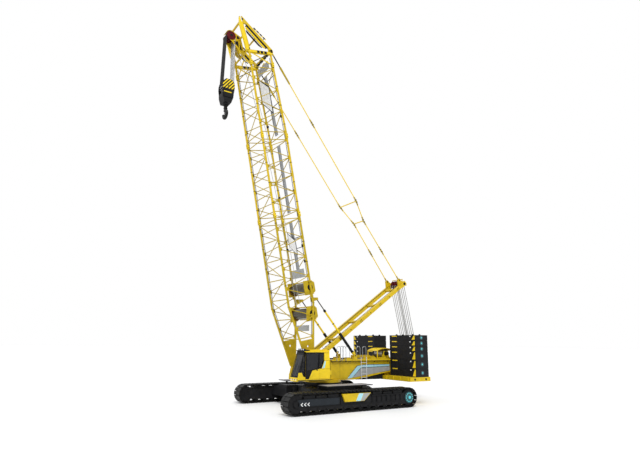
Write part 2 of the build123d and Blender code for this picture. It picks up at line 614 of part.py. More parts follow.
def gusset(face, side, u, across):
    """Small plate at a node of the lacing, in the plane of its panel."""
    v, y, _ = chord_point(face, side, u)
    half = GUSSET_THICK / 2
    if across:
        inner = y - side * GUSSET
        return block(v - half, v + half, min(inner, y), max(inner, y), u - 150, u + 150)
    inner = v - face * GUSSET
    return block(min(inner, v), max(inner, v), y - half, y + half, u - 150, u + 150)


def panel_nodes(start, end):
    first, last = start + END_PANEL, end - END_PANEL
    count = max(round((last - first) / PANEL), 1)
    return [first + i * (last - first) / count for i in range(count + 1)]


def cross_panel(face, nodes):
    """Lacing between the left and right chords of one face."""
    pieces = []
    for i, u in enumerate(nodes):
        pieces.append(rod(chord_point(face, -1, u), chord_point(face, 1, u), STRUT_RADIUS))
        if i + 1 < len(nodes):
            side = 1 if i % 2 else -1
            pieces.append(rod(chord_point(face, side, u), chord_point(face, -side, nodes[i + 1]), BRACE_RADIUS))
    return pieces


def side_panel(side, nodes):
    """Lacing between the front and back chords of one side."""
    pieces = [rod(chord_point(-1, side, u), chord_point(1, side, u), STRUT_RADIUS) for u in (nodes[0], nodes[-1])]
    for low, high in zip(nodes, nodes[1:]):
        middle = (low + high) / 2
        pieces.append(rod(chord_point(-1, side, low), chord_point(1, side, middle), BRACE_RADIUS))
        pieces.append(rod(chord_point(1, side, middle), chord_point(-1, side, high), BRACE_RADIUS))
        pieces.append(gusset(1, side, middle, False))
    pieces += [gusset(-1, side, u, False) for u in nodes]
    return pieces


def lacing(start, end, lowest, back_nodes=None):
    """Four lacing panels, each one solid, cut to the skins of the chords."""
    nodes = panel_nodes(max(start, lowest), end)
    skins = []
    for face in (-1, 1):
        for side in (-1, 1):
            skins += chord(face, side, start, end, CHORD_RADIUS + WELD_GAP, (start, end))
    panels = [cross_panel(1, nodes), cross_panel(-1, back_nodes or nodes), side_panel(-1, nodes), side_panel(1, nodes)]
    solids = []
    for pieces in panels:
        panel = placed(BOOM, pieces)
        for skin in skins:
            panel -= BOOM * skin
        solids.append(panel)
    return solids


BACKSTOP_TOP = (5450, -1640)    # along the boom, forward
BACKSTOP_BRACKET = 180          # half length of the backstop's bracket on the boom
BACKSTOP_ROD_EYE = 50           # half thickness of the rod's eye


def backstop_bracket(side):
    """Bracket on the back chord that holds the upper eye of one backstop between two cheeks."""
    u, v = BACKSTOP_TOP
    inner = BACKSTOP_Y - BACKSTOP_ROD_EYE - CHEEK_GAP - 30
    low, high = sorted((side * inner, side * BOOM_HALF_Y))
    chord_v = -half_depth(u)
    pieces = [block(chord_v - 110, chord_v + 30, low, high, u - BACKSTOP_BRACKET, u + BACKSTOP_BRACKET)]
    for y in (inner, BACKSTOP_Y + BACKSTOP_ROD_EYE + CHEEK_GAP):
        low, high = sorted((side * y, side * (y + 30)))
        pieces.append(plate([(chord_v - 60, u - BACKSTOP_BRACKET + 10), (chord_v - 60, u + BACKSTOP_BRACKET - 10),
                             (v - 110, u + 90), (v - 110, u - 90)], low, high))
    return pieces


def foot_side(side):
    """One side of the foot section: both chords, the web at the foot and the backstop's bracket."""
    top = FOOT_WEB_TOP + 150
    low = side * BOOM_HALF_Y - FOOT_PLATE_THICK / 2
    depth = half_depth(top)
    outline = [(-FOOT_HALF_DEPTH, 0), (FOOT_HALF_DEPTH, 0), (FOOT_HALF_DEPTH, FOOT_START),
               (depth, top), (-depth, top), (-FOOT_HALF_DEPTH, FOOT_START)]
    pieces = [plate(outline, low, low + FOOT_PLATE_THICK),
              drum(0, 0, FOOT_LUG_RADIUS - 40, low, low + FOOT_PLATE_THICK)]
    for face in (-1, 1):
        pieces += chord(face, side, FOOT_START, JOINT_1, CHORD_RADIUS, (JOINT_1,))
    pieces += backstop_bracket(side)
    body = placed(BOOM, pieces)
    body -= BOOM * rod((0, side * 1000, WEB_HOLE_U), (0, side * 2000, WEB_HOLE_U), WEB_HOLE_RADIUS)
    return body - drum(BOOM_FOOT_X, BOOM_FOOT_Z, BOOM_PIN_RADIUS + PIN_GAP, -2 * BOOM_HALF_Y, 2 * BOOM_HALF_Y)


WEB_HOLE_U = 1960
WEB_HOLE_RADIUS = 90
foot_nodes = panel_nodes(FOOT_WEB_TOP, JOINT_1)
write("boom_foot_section", foot_side(-1), foot_side(1))
write("boom_foot_lacing", *lacing(FOOT_START, JOINT_1, FOOT_WEB_TOP, [u for u in foot_nodes if u > WINCH_BAY[1]]))
for name, start, end in (("middle", JOINT_1, JOINT_2), ("upper", JOINT_2, HEAD_START)):
    write(f"boom_{name}_section", *section_chords(start, end))
    write(f"boom_{name}_lacing", *lacing(start, end, start))

# walkway inside the back face, in three lengths
WALKWAY_WIDTH = 420
WALKWAY_THICK = 30
WALKWAY_CURB = 70
WALKWAYS = ((7500, 12150), (12900, 18850), (TAPER_START + 150, 25100))


def walkway(low, high):
    """Tray that lies on the struts of the back face."""
    seat = STRUT_RADIUS + WELD_GAP
    a, b = half_depth(low, -1), half_depth(high, -1)
    outline = [(-a + seat, low), (-b + seat, high), (-b + seat + WALKWAY_CURB, high), (-a + seat + WALKWAY_CURB, low)]
    half = WALKWAY_WIDTH / 2
    tray = plate(outline, -half, half)
    floor = seat + WALKWAY_THICK
    trough = [(-a + floor, low - 1), (-b + floor, high + 1), (-b + floor + 100, high + 1), (-a + floor + 100, low - 1)]
    return BOOM * (tray - plate(trough, -half + 20, half - 20))


write("boom_walkways", *[walkway(*w) for w in WALKWAYS])

# ---------------------------------------------------------------- boom head
HEAD_SHEAVE = (28370, 2040)     # along the boom, forward
HEAD_SHEAVE_RADIUS = 360
HEAD_SHEAVE_Y = (-270, -90, 90, 270)
HEAD_SHEAVE_THICK = 80
HEAD_LUG = (26730, -950)        # pendant pins
HEAD_FRAME_HALF = 80            # half thickness of a side frame
HEAD_FRAME = [(-930, 26380), (1230, 26380), (1280, 26600), (1640, 28850), (1600, 29540), (1370, 29560),
              (-1040, 26880), (-1090, 26760), (-1090, 26640)]
HEAD_WINDOW = [(-690, 26640), (1045, 26640), (1340, 28950), (1105, 28950), (-690, 26954)]
HEAD_TUBES = ((29300, 1390, 90), (26740, -790, 72), (26720, 1165, 80), (28000, 1360, 70), (28030, 136, 68))
NOSE_PLATE = [(1060, 26640), (1450, 26900), (2300, 28100), (2270, 28620), (1900, 28760), (1220, 28300)]
NOSE_Y = 395                    # inner side of a nose plate
NOSE_THICK = 50
HEAD_PIN_RADIUS = 60
PENDANT_THICK = 60
HEAD_AXLE_RADIUS = 70
JIB_PIN = (27600, 1790)         # bores for a jib's foot pins
JIB_PIN_RADIUS = 55


def head():
    """Two triangular side frames, the tubes between them and the nose plates."""
    pieces = []
    eye = PENDANT_THICK / 2 + CHEEK_GAP
    for side in (-1, 1):
        y = side * BOOM_HALF_Y
        frame = plate(HEAD_FRAME, y - HEAD_FRAME_HALF, y + HEAD_FRAME_HALF)
        frame -= plate(HEAD_WINDOW, y - HEAD_FRAME_HALF - 10, y + HEAD_FRAME_HALF + 10)
        for face in (-1, 1):
            for piece in chord(face, side, HEAD_START, CHORD_END, CHORD_RADIUS, (HEAD_START,)):
                frame += piece
        slot = [(-1400, 26200), (-955, 26200), (-955, CHORD_END + 25), (-800, CHORD_END + 25), (-800, 27000), (-1400, 27000)]
        frame -= plate(slot, y - eye, y + eye)
        frame += rod((HEAD_LUG[1], y - HEAD_FRAME_HALF, HEAD_LUG[0]), (HEAD_LUG[1], y + HEAD_FRAME_HALF, HEAD_LUG[0]),
                     HEAD_PIN_RADIUS)
        pieces.append(frame)
        low, high = sorted((side * NOSE_Y, side * (NOSE_Y + NOSE_THICK)))
        pieces.append(plate(NOSE_PLATE, low, high))
    reach = BOOM_HALF_Y - HEAD_FRAME_HALF + 40
    for u, v, radius in HEAD_TUBES:
        pieces.append(rod((v, -reach, u), (v, reach, u), radius))
    bore = rod((HEAD_SHEAVE[1], -1000, HEAD_SHEAVE[0]), (HEAD_SHEAVE[1], 1000, HEAD_SHEAVE[0]),
               HEAD_AXLE_RADIUS + RUN_GAP)
    jib_bore = rod((JIB_PIN[1], -1000, JIB_PIN[0]), (JIB_PIN[1], 1000, JIB_PIN[0]), JIB_PIN_RADIUS)
    return placed(BOOM, pieces) - BOOM * bore - BOOM * jib_bore


def head_sheaves():
    reach = NOSE_Y + NOSE_THICK
    pieces = [rod((HEAD_SHEAVE[1], -reach, HEAD_SHEAVE[0]), (HEAD_SHEAVE[1], reach, HEAD_SHEAVE[0]), HEAD_AXLE_RADIUS)]
    half = HEAD_SHEAVE_THICK / 2
    for y in HEAD_SHEAVE_Y:
        pieces.append(rod((HEAD_SHEAVE[1], y - half, HEAD_SHEAVE[0]), (HEAD_SHEAVE[1], y + half, HEAD_SHEAVE[0]),
                          HEAD_SHEAVE_RADIUS))
    return placed(BOOM, pieces)


write("boom_head", head())
write("head_sheaves", head_sheaves())

# winches on the back face of the foot section
WINCHES = (6450, 4400)      # along the boom
WINCH_RADIUS = 400
WINCH_FLANGE = 520
WINCH_DRUM_V = 20           # drum's middle from the back chords, towards the front
WINCH_PLATE = 1160          # length of a winch's side plates
WINCH_PLATE_V = (-450, 560) # their reach from the back chords
WINCH_PLATE_THICK = 60


def boom_winch(u):
    """Rope drum between two side plates that seat on the back chords."""
    outer = BOOM_HALF_Y - CHORD_RADIUS - RUN_GAP
    low, high = u - WINCH_PLATE / 2, u + WINCH_PLATE / 2
    back, front = WINCH_PLATE_V
    a, b, m = -half_depth(low), -half_depth(high), -half_depth(u)
    outline = [(a + front, low), (b + front, high), (b - 120, high), (m + back, u + 0.3 * WINCH_PLATE),
               (m + back, u - 0.3 * WINCH_PLATE), (a - 120, low)]
    pieces = [plate(outline, -outer, -outer + WINCH_PLATE_THICK), plate(outline, outer - WINCH_PLATE_THICK, outer)]
    v = m + WINCH_DRUM_V
    inner = outer - WINCH_PLATE_THICK
    pieces.append(rod((v, -inner - 20, u), (v, inner + 20, u), WINCH_RADIUS))
    for y in (-inner + 30, inner - 70):
        pieces.append(rod((v, y, u), (v, y + 40, u), WINCH_FLANGE))
    return placed(BOOM, pieces)


write("hoist_winches", *[boom_winch(u) for u in WINCHES])

# ---------------------------------------------------------------- hook block
SHEAVE_WORLD = BOOM * Pos(HEAD_SHEAVE[1], 0, HEAD_SHEAVE[0])
HANG_X, HANG_Z = SHEAVE_WORLD.position.X, SHEAVE_WORLD.position.Z
BLOCK_TOP = 25950
BLOCK_AXLE = 25380
BLOCK_WAIST = 24700
BLOCK_CHEEK_LOW = 24350
BLOCK_LOW = 23900
BLOCK_HALF_X = 520
BLOCK_HALF_Y = 500
BLOCK_CHEEK = 60
BLOCK_SHEAVE_RADIUS = 430
BLOCK_SHEAVE_THICK = 80
BLOCK_AXLE_RADIUS = 90
ROPE_RADIUS = 20
SHANK_RADIUS = 90
SHANK_SEAT = 290            # how far the hook's shank reaches into the block
HOOK_RING = 320             # radius of the hook's bowl
HOOK_THICK = 130
HOOK_LOW = 22550
HOOK_TURN = -90             # the bowl's open side faces the crane's right
HOOK_Z = HOOK_LOW + HOOK_RING + HOOK_THICK


def hook_block():
    """Two cheeks with sheaves between them, over a heavy lower body that holds the hook's shank."""
    half = [(BLOCK_HALF_X - 120, BLOCK_CHEEK_LOW), (BLOCK_HALF_X, BLOCK_AXLE - 250), (BLOCK_HALF_X, BLOCK_AXLE + 120),
            (BLOCK_HALF_X - 80, BLOCK_AXLE + 350), (BLOCK_HALF_X - 270, BLOCK_TOP)]
    outline = [(HANG_X + x, z) for x, z in half] + [(HANG_X - x, z) for x, z in reversed(half)]
    lower = [(HANG_X - 300, BLOCK_LOW), (HANG_X + 300, BLOCK_LOW), (HANG_X + BLOCK_HALF_X - 60, BLOCK_LOW + 500),
             (HANG_X + BLOCK_HALF_X - 40, BLOCK_WAIST), (HANG_X - BLOCK_HALF_X + 40, BLOCK_WAIST),
             (HANG_X - BLOCK_HALF_X + 60, BLOCK_LOW + 500)]
    inner = BLOCK_HALF_Y - BLOCK_CHEEK
    body = plate(lower, -inner - 10, inner + 10)
    for y in (-BLOCK_HALF_Y, inner):
        body += plate(outline, y, y + BLOCK_CHEEK)
    body += drum(HANG_X, BLOCK_AXLE, BLOCK_AXLE_RADIUS, -inner - 20, inner + 20)
    for y in HEAD_SHEAVE_Y:
        body += drum(HANG_X, BLOCK_AXLE, BLOCK_SHEAVE_RADIUS, y - BLOCK_SHEAVE_THICK / 2, y + BLOCK_SHEAVE_THICK / 2)
    return body - Solid.make_cylinder(SHANK_RADIUS + PIN_GAP, SHANK_SEAT + 10, Plane((HANG_X, 0, BLOCK_LOW - 1)))


def hoist_ropes():
    """Falls of rope from both sides of the head sheaves to both sides of the block's sheaves."""
    ropes = []
    reach = HEAD_SHEAVE_RADIUS + ROPE_RADIUS + RUN_GAP
    for y in HEAD_SHEAVE_Y:
        for side in (-1, 1):
            low = Vector(HANG_X + side * (BLOCK_SHEAVE_RADIUS + ROPE_RADIUS + 2 * RUN_GAP), 0, BLOCK_AXLE)
            down = low - Vector(HANG_X, 0, HANG_Z)
            swing = math.degrees(math.acos(reach / down.length))
            top = Vector(HANG_X, 0, HANG_Z) + down.normalized().rotate(Axis.Y, -side * swing) * reach
            ropes.append(rod((top.X, y, top.Z), (low.X, y, low.Z), ROPE_RADIUS))
    return ropes


def hook():
    """Shank and bowl, open at the front."""
    body = Solid.make_cylinder(SHANK_RADIUS, BLOCK_LOW + SHANK_SEAT - HOOK_Z - HOOK_RING, Plane((HANG_X, 0, HOOK_Z + HOOK_RING)))
    ring = Solid.make_torus(HOOK_RING, HOOK_THICK, Plane((HANG_X, 0, HOOK_Z), z_dir=(0, 1, 0)))
    ring -= block(HANG_X + 40, HANG_X + 1000, -300, 300, HOOK_Z + 30, HOOK_Z + 1000)
    neck = HOOK_Z + HOOK_RING - HOOK_THICK + 20
    body += ring + block(HANG_X - 115, HANG_X + 115, -105, 105, neck, BLOCK_LOW - 20)
    return body.rotate(Axis((HANG_X, 0, 0), (0, 0, 1)), HOOK_TURN)


write("hook_block", hook_block())
write("hoist_ropes", *hoist_ropes())
write("hook", hook())

# ---------------------------------------------------------------- mast
MAST_LENGTH = 11470
MAST_ANGLE = 145
MAST = Pos(MAST_FOOT_X, 0, MAST_FOOT_Z) * Rot(0, 90 - MAST_ANGLE, 0)
MAST_LUG = (MAST_LENGTH - 260, 560)
MAST_SHEAVE_RADIUS = 350
MAST_TIES = 4               # cross members between the mast's beams
MAST_TIE_STEP = MAST_LENGTH / (MAST_TIES + 0.4)
MAST_TIE_HALF = 90
MAST_EYE_THICK = 50
MAST_AXLE_RADIUS = 80
LUFF_COLUMNS = (-480, -240, 0, 240, 480)     # sheaves and ropes of the luffing tackle, in Y
LUFF_ROPE_RADIUS = 31
LUFF_ROW = MAST_SHEAVE_RADIUS + LUFF_ROPE_RADIUS + RUN_GAP   # rope rows from the tackle's middle line


def mast():
    pieces = []
    half = MAST_BEAM_DEPTH / 2
    width = MAST_BEAM_WIDTH / 2
    for side in (-1, 1):
        y = side * MAST_Y
        pieces.append(block(-half, half, y - width, y + width, 0, MAST_LENGTH - 300))
        pieces.append(rod((0, y - width, 0), (0, y + width, 0), half))
        pieces.append(plate([(-half - 40, MAST_LENGTH - 450), (half + 40, MAST_LENGTH - 450), (180, MAST_LENGTH + 230),
                             (-180, MAST_LENGTH + 230)], y - width, y + width))
        reach = MAST_EYE_THICK / 2 + CHEEK_GAP
        for low in (y - reach - 40, y + reach):
            pieces.append(plate([(0, MAST_LUG[0] - 500), (0, MAST_LUG[0] + 300), (MAST_LUG[1] + 120, MAST_LUG[0] + 120),
                                 (MAST_LUG[1] + 120, MAST_LUG[0] - 120)], low, low + 40))
    for i in range(MAST_TIES):
        u = (i + 1) * MAST_TIE_STEP
        pieces.append(block(-MAST_TIE_HALF, MAST_TIE_HALF, -MAST_Y, MAST_Y, u - MAST_TIE_HALF, u + MAST_TIE_HALF))
    pieces.append(rod((0, -MAST_Y, MAST_LENGTH), (0, MAST_Y, MAST_LENGTH), MAST_AXLE_RADIUS))
    bore = rod((0, -2000, 0), (0, 2000, 0), MAST_PIN_RADIUS + PIN_GAP)
    return placed(MAST, pieces) - MAST * bore


def mast_sheaves():
    reach = LUFF_COLUMNS[-1] + 70
    pieces = [rod((0, -reach, MAST_LENGTH), (0, reach, MAST_LENGTH), 140)]
    for y in LUFF_COLUMNS:
        pieces.append(rod((0, y - 45, MAST_LENGTH), (0, y + 45, MAST_LENGTH), MAST_SHEAVE_RADIUS))
    bore = rod((0, -2000, MAST_LENGTH), (0, 2000, MAST_LENGTH), MAST_AXLE_RADIUS + RUN_GAP)
    return placed(MAST, pieces) - MAST * bore


write("mast", mast())
write("mast_sheaves", mast_sheaves())

# ---------------------------------------------------------------- pendants
HEAD_PIN = (BOOM * Pos(HEAD_LUG[1], BOOM_HALF_Y, HEAD_LUG[0])).position
MAST_PIN = (MAST * Pos(MAST_LUG[1], MAST_Y, MAST_LUG[0])).position


def pendant():
    """Bars from the boom head to the mast on the left, with an eye at each end."""
    a, b = HEAD_PIN, MAST_PIN
    start = a + (b - a).normalized() * 300
    end = b - (b - a).normalized() * 300
    shape = rod(tuple(start), tuple(end), 45)
    for point, thick, inner in ((a, PENDANT_THICK, start), (b, MAST_EYE_THICK, end)):
        low, high = point.Y - thick / 2, point.Y + thick / 2
        eye = rod((point.X, low, point.Z), (point.X, high, point.Z), 120)
        away = (inner - point).normalized()
        normal = Vector(-away.Z, 0, away.X) * 70
        flat = Vector(away.X, 0, away.Z) * 420
        corners = [point + normal, point - normal, point + flat - normal, point + flat + normal]
        eye += plate([(c.X, c.Z) for c in corners], low, high)
        shape += eye
        shape -= rod((point.X, low - 1, point.Z), (point.X, high + 1, point.Z), HEAD_PIN_RADIUS + PIN_GAP)
    return shape


bars = pendant()
bars += mirrored(bars)
for share in (0.64, 0.71):
    p = HEAD_PIN + (MAST_PIN - HEAD_PIN) * share
    bars += rod((p.X, -p.Y, p.Z), (p.X, p.Y, p.Z), 50)
write("pendants", bars)

# ---------------------------------------------------------------- backstops
BACKSTOP_END = (BOOM * Pos(BACKSTOP_TOP[1], BACKSTOP_Y, BACKSTOP_TOP[0])).position
BACKSTOP_ROD_RADIUS = 44
BACKSTOP_TUBE_RADIUS = 80
BACKSTOP_TUBE_LENGTH = 4700
BACKSTOP_SLEEVE_LENGTH = 2300
BACKSTOP_EYE_RADIUS = 95


def backstop_frame(distance):
    """Plane at a distance from the lower pin, looking along the left backstop."""
    foot = Vector(BACKSTOP_X, BACKSTOP_Y, BACKSTOP_Z)
    along = (BACKSTOP_END - foot).normalized()
    return Plane(foot + along * distance, z_dir=along)


def backstop_tube():
    bore = BACKSTOP_ROD_RADIUS + 0.8
    tube = Solid.make_cylinder(BACKSTOP_TUBE_RADIUS, BACKSTOP_TUBE_LENGTH - 200, backstop_frame(200))
    tube += Solid.make_cylinder(BACKSTOP_SLEEVE_RADIUS, BACKSTOP_SLEEVE_LENGTH - 180, backstop_frame(180))
    tube += Solid.make_cylinder(BACKSTOP_TUBE_RADIUS + 18, 120, backstop_frame(BACKSTOP_TUBE_LENGTH - 120))
    tube -= Solid.make_cylinder(bore, BACKSTOP_TUBE_LENGTH - 300, backstop_frame(301))
    eye = drum(BACKSTOP_X, BACKSTOP_Z, 105, BACKSTOP_Y - BACKSTOP_EYE_HALF, BACKSTOP_Y + BACKSTOP_EYE_HALF)
    neck = Solid.make_cylinder(BACKSTOP_EYE_HALF, 200, backstop_frame(60))
    hole = drum(BACKSTOP_X, BACKSTOP_Z, BACKSTOP_PIN_RADIUS + PIN_GAP, BACKSTOP_Y - 100, BACKSTOP_Y + 100)
    return tube + eye + neck - hole


def backstop_rod():
    length = (BACKSTOP_END - Vector(BACKSTOP_X, BACKSTOP_Y, BACKSTOP_Z)).length
    shape = Solid.make_cylinder(BACKSTOP_ROD_RADIUS, length - 60 - 760, backstop_frame(760))
    shape += drum(BACKSTOP_END.X, BACKSTOP_END.Z, BACKSTOP_EYE_RADIUS, BACKSTOP_Y - BACKSTOP_ROD_EYE,
                  BACKSTOP_Y + BACKSTOP_ROD_EYE)
    return shape - drum(BACKSTOP_END.X, BACKSTOP_END.Z, BACKSTOP_PIN_RADIUS, BACKSTOP_Y - 100, BACKSTOP_Y + 100)


write("backstop_tubes", backstop_tube(), mirrored(backstop_tube()))
write("backstop_rods", backstop_rod(), mirrored(backstop_rod()))

# ---------------------------------------------------------------- luffing ropes
MAST_TIP = (MAST * Pos(0, 0, MAST_LENGTH)).position
TAIL_POINT = Vector(TAIL_SHEAVE_X, 0, TAIL_SHEAVE_Z)
LUFF_STAGES = ((LUFF_ROPE_RADIUS, 26.3), (25.5, 20.8), (20, 0))     # outer and inner radius, from the mast down
LUFF_TRAVEL = 1060          # the lowest stage starts this far below the mast's axle
LUFF_TOTAL = (TAIL_POINT - MAST_TIP).length
LUFF_LENGTH = LUFF_TOTAL - LUFF_TRAVEL
LUFF_DIR = (TAIL_POINT - MAST_TIP).normalized()
LUFF_ACROSS = Vector(-LUFF_DIR.Z, 0, LUFF_DIR.X)


def luff_rope(stage, row, y):
    """One stage of one line: stages slide inside each other as the mast turns."""
    outer, inner = LUFF_STAGES[stage]
    start = LUFF_TRAVEL * stage / 2
    base = Plane(MAST_TIP + Vector(0, y, 0) + LUFF_ACROSS * (row * LUFF_ROW) + LUFF_DIR * start, z_dir=LUFF_DIR)
    tube = Solid.make_cylinder(outer, LUFF_LENGTH, base)
    if inner:
        tube -= Solid.make_cylinder(inner, LUFF_LENGTH + 2, base.offset(-1))
    return tube


for stage, name in enumerate(("upper", "middle", "lower")):
    write(f"luffing_ropes_{name}", *[luff_rope(stage, row, y) for row in (-1, 1) for y in LUFF_COLUMNS])

write("tail_sheaves", *[drum(TAIL_SHEAVE_X, TAIL_SHEAVE_Z, TAIL_SHEAVE_RADIUS, y - 40, y + 40)
      - drum(TAIL_SHEAVE_X, TAIL_SHEAVE_Z, TAIL_AXLE_RADIUS + RUN_GAP, y - 50, y + 50) for y in LUFF_COLUMNS])
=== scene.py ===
"""Looks of the crane's CAD nodes, and the finer pieces that ride on its bodies."""
import json
from math import copysign, cos, pi, radians, sin, sqrt

import bmesh
import bpy
from mathutils import Matrix, Vector


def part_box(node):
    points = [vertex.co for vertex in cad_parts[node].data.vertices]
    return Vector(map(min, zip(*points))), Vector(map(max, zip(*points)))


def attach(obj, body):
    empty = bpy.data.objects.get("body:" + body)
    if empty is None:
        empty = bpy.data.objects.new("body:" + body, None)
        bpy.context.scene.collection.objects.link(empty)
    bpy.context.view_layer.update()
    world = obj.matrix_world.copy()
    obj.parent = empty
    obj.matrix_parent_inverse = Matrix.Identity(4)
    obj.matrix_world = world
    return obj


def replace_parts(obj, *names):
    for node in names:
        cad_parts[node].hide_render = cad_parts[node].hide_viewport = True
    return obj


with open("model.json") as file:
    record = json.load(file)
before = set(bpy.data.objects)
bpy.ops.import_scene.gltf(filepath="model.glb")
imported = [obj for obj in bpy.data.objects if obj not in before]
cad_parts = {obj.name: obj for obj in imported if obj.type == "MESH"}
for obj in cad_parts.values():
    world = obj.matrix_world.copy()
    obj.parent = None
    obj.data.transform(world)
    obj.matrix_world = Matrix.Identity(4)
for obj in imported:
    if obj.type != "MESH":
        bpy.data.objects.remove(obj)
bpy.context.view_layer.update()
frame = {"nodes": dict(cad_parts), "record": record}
bpy.context.scene.view_settings.view_transform = "Standard"
NODES = frame["nodes"]


def with_axes(at, x, y, z):
    """The frame at a point whose axes run along x, y and z."""
    return Matrix.Translation(at) @ Matrix((x, y, z)).transposed().to_4x4()


def put(node, **values):
    """Sets inputs of a shader node; an underscore stands for a space in an input's name."""
    for name, value in values.items():
        node.inputs[name.replace("_", " ")].default_value = value


def add(tree, kind, **values):
    node = tree.nodes.new("ShaderNode" + kind)
    put(node, **values)
    return node


def new_material(name, **values):
    """A material and its main shader, with inputs of the shader set."""
    material = bpy.data.materials.new(name)
    material.use_nodes = True
    shader = material.node_tree.nodes["Principled BSDF"]
    put(shader, **values)
    return material, shader


# ---- camera, floor and light
def build_camera():
    """Stands off the front left, a little above a person's head, looking slightly up."""
    yaw, pitch, roll = (radians(a) for a in (238.04, 13.3, 0.418))
    forward = Vector((cos(yaw) * cos(pitch), sin(yaw) * cos(pitch), sin(pitch)))
    right = forward.cross(Vector((0, 0, 1))).normalized()
    up = right.cross(forward)
    right, up = right * cos(roll) + up * sin(roll), up * cos(roll) - right * sin(roll)
    data = bpy.data.cameras.new("camera")
    data.sensor_width = 36
    data.lens = 27.556
    data.clip_end = 500
    camera = bpy.data.objects.new("camera", data)
    camera.matrix_world = with_axes((22.537, 35.416, 4.963), right, up, -forward)
    bpy.context.scene.collection.objects.link(camera)
    bpy.context.scene.camera = camera


def build_floor():
    mesh = bpy.data.meshes.new("floor")
    reach = 400
    corners = [(-reach, -reach, 0), (reach, -reach, 0), (reach, reach, 0), (-reach, reach, 0)]
    mesh.from_pydata(corners, [], [(0, 1, 2, 3)])
    floor = bpy.data.objects.new("floor", mesh)
    bpy.context.scene.collection.objects.link(floor)
    mesh.materials.append(new_material("floor_white", Base_Color=(0.97, 0.97, 0.97, 1), Roughness=0.6)[0])


def build_light():
    """A pale room, seen as white by the camera, through glass and in reflections, and two suns."""
    world = bpy.data.worlds.new("studio")
    world.use_nodes = True
    tree = world.node_tree
    tree.nodes.clear()
    out, mix, path, seen, also = (
        add(tree, kind) for kind in ("OutputWorld", "MixShader", "LightPath", "Math", "Math"))
    seen.operation = also.operation = "MAXIMUM"
    room = add(tree, "Background", Color=(0.96, 0.98, 1.0, 1), Strength=0.62)
    white = add(tree, "Background", Color=(1, 1, 1, 1), Strength=1.0)
    link = tree.links.new
    link(path.outputs["Is Camera Ray"], seen.inputs[0])
    link(path.outputs["Is Transmission Ray"], seen.inputs[1])
    link(seen.outputs["Value"], also.inputs[0])
    link(path.outputs["Is Glossy Ray"], also.inputs[1])
    link(also.outputs["Value"], mix.inputs["Fac"])
    link(room.outputs["Background"], mix.inputs[1])
    link(white.outputs["Background"], mix.inputs[2])
    link(mix.outputs["Shader"], out.inputs["Surface"])
    bpy.context.scene.world = world
    # name, where it comes from, strength, angle in degrees
    for name, come_from, strength, angle in (("key", (0.35, 0.75, 1.0), 1.9, 28),
                                             ("fill", (1.0, 0.2, 0.5), 0.5, 60)):
        data = bpy.data.lights.new(name, "SUN")
        data.energy = strength
        data.angle = radians(angle)
        lamp = bpy.data.objects.new(name, data)
        lamp.rotation_mode = "QUATERNION"
        lamp.rotation_quaternion = Vector(come_from).to_track_quat("Z", "Y")
        bpy.context.scene.collection.objects.link(lamp)


build_camera()
build_floor()
build_light()


# ---- materials
def paint(name, color, roughness=0.4, metallic=0.0, coat=0.0, vary=0.06, bump=0.0, bump_scale=60.0,
          wear=0.0, wear_color=None, specular=0.5):
    """A surface whose colour varies gently, with fine bump and wear in patches where they are asked for."""
    material, shader = new_material(name, Metallic=metallic, Specular_IOR_Level=specular, Coat_Weight=coat,
                                    Coat_Roughness=0.12)
    tree = material.node_tree
    link = tree.links.new
    place = add(tree, "TexCoord")
    noise = add(tree, "TexNoise", Scale=3.0, Detail=6)
    link(place.outputs["Object"], noise.inputs["Vector"])
    ramp = add(tree, "ValToRGB")
    dark, light = ramp.color_ramp.elements
    dark.position, light.position = 0.3, 0.7
    dark.color = (*(c * (1 - vary * 1.6) for c in color), 1)
    light.color = (*(min(c * (1 + vary), 1) for c in color), 1)
    link(noise.outputs["Fac"], ramp.inputs["Fac"])
    color_out = ramp.outputs["Color"]
    if wear:
        patches = add(tree, "TexNoise", Scale=9, Detail=10, Roughness=0.75)
        link(place.outputs["Object"], patches.inputs["Vector"])
        edge = add(tree, "MapRange", From_Min=0.62, From_Max=0.74, To_Max=wear)
        link(patches.outputs["Fac"], edge.inputs["Value"])
        mix = add(tree, "Mix")
        mix.data_type = "RGBA"
        link(edge.outputs["Result"], mix.inputs["Factor"])
        link(color_out, mix.inputs["A"])
        put(mix, B=(*wear_color, 1))
        color_out = mix.outputs["Result"]
    link(color_out, shader.inputs["Base Color"])
    gloss = add(tree, "MapRange", To_Min=max(roughness - 0.08, 0.02), To_Max=roughness + 0.1)
    link(noise.outputs["Fac"], gloss.inputs["Value"])
    link(gloss.outputs["Result"], shader.inputs["Roughness"])
    if bump:
        grain = add(tree, "TexNoise", Scale=bump_scale, Detail=4)
        link(place.outputs["Object"], grain.inputs["Vector"])
        bumper = add(tree, "Bump", Strength=bump, Distance=0.01)
        link(grain.outputs["Fac"], bumper.inputs["Height"])
        link(bumper.outputs["Normal"], shader.inputs["Normal"])
    return material


YELLOW = paint("yellow_paint", (0.84, 0.6, 0.01), 0.42, coat=0.06, vary=0.05, bump=0.1, wear=0.2,
               wear_color=(0.55, 0.38, 0.02), specular=0.3)
# a darker copy of the yellow paint: painted shade, for the boom head, the mast and other parts that sit in
# shade
YELLOW_SHADED = paint("yellow_paint_shaded", (0.62, 0.43, 0.008), 0.45, coat=0.04, vary=0.08, bump=0.1, wear=0.3,
             wear_color=(0.4, 0.27, 0.015), specular=0.25)
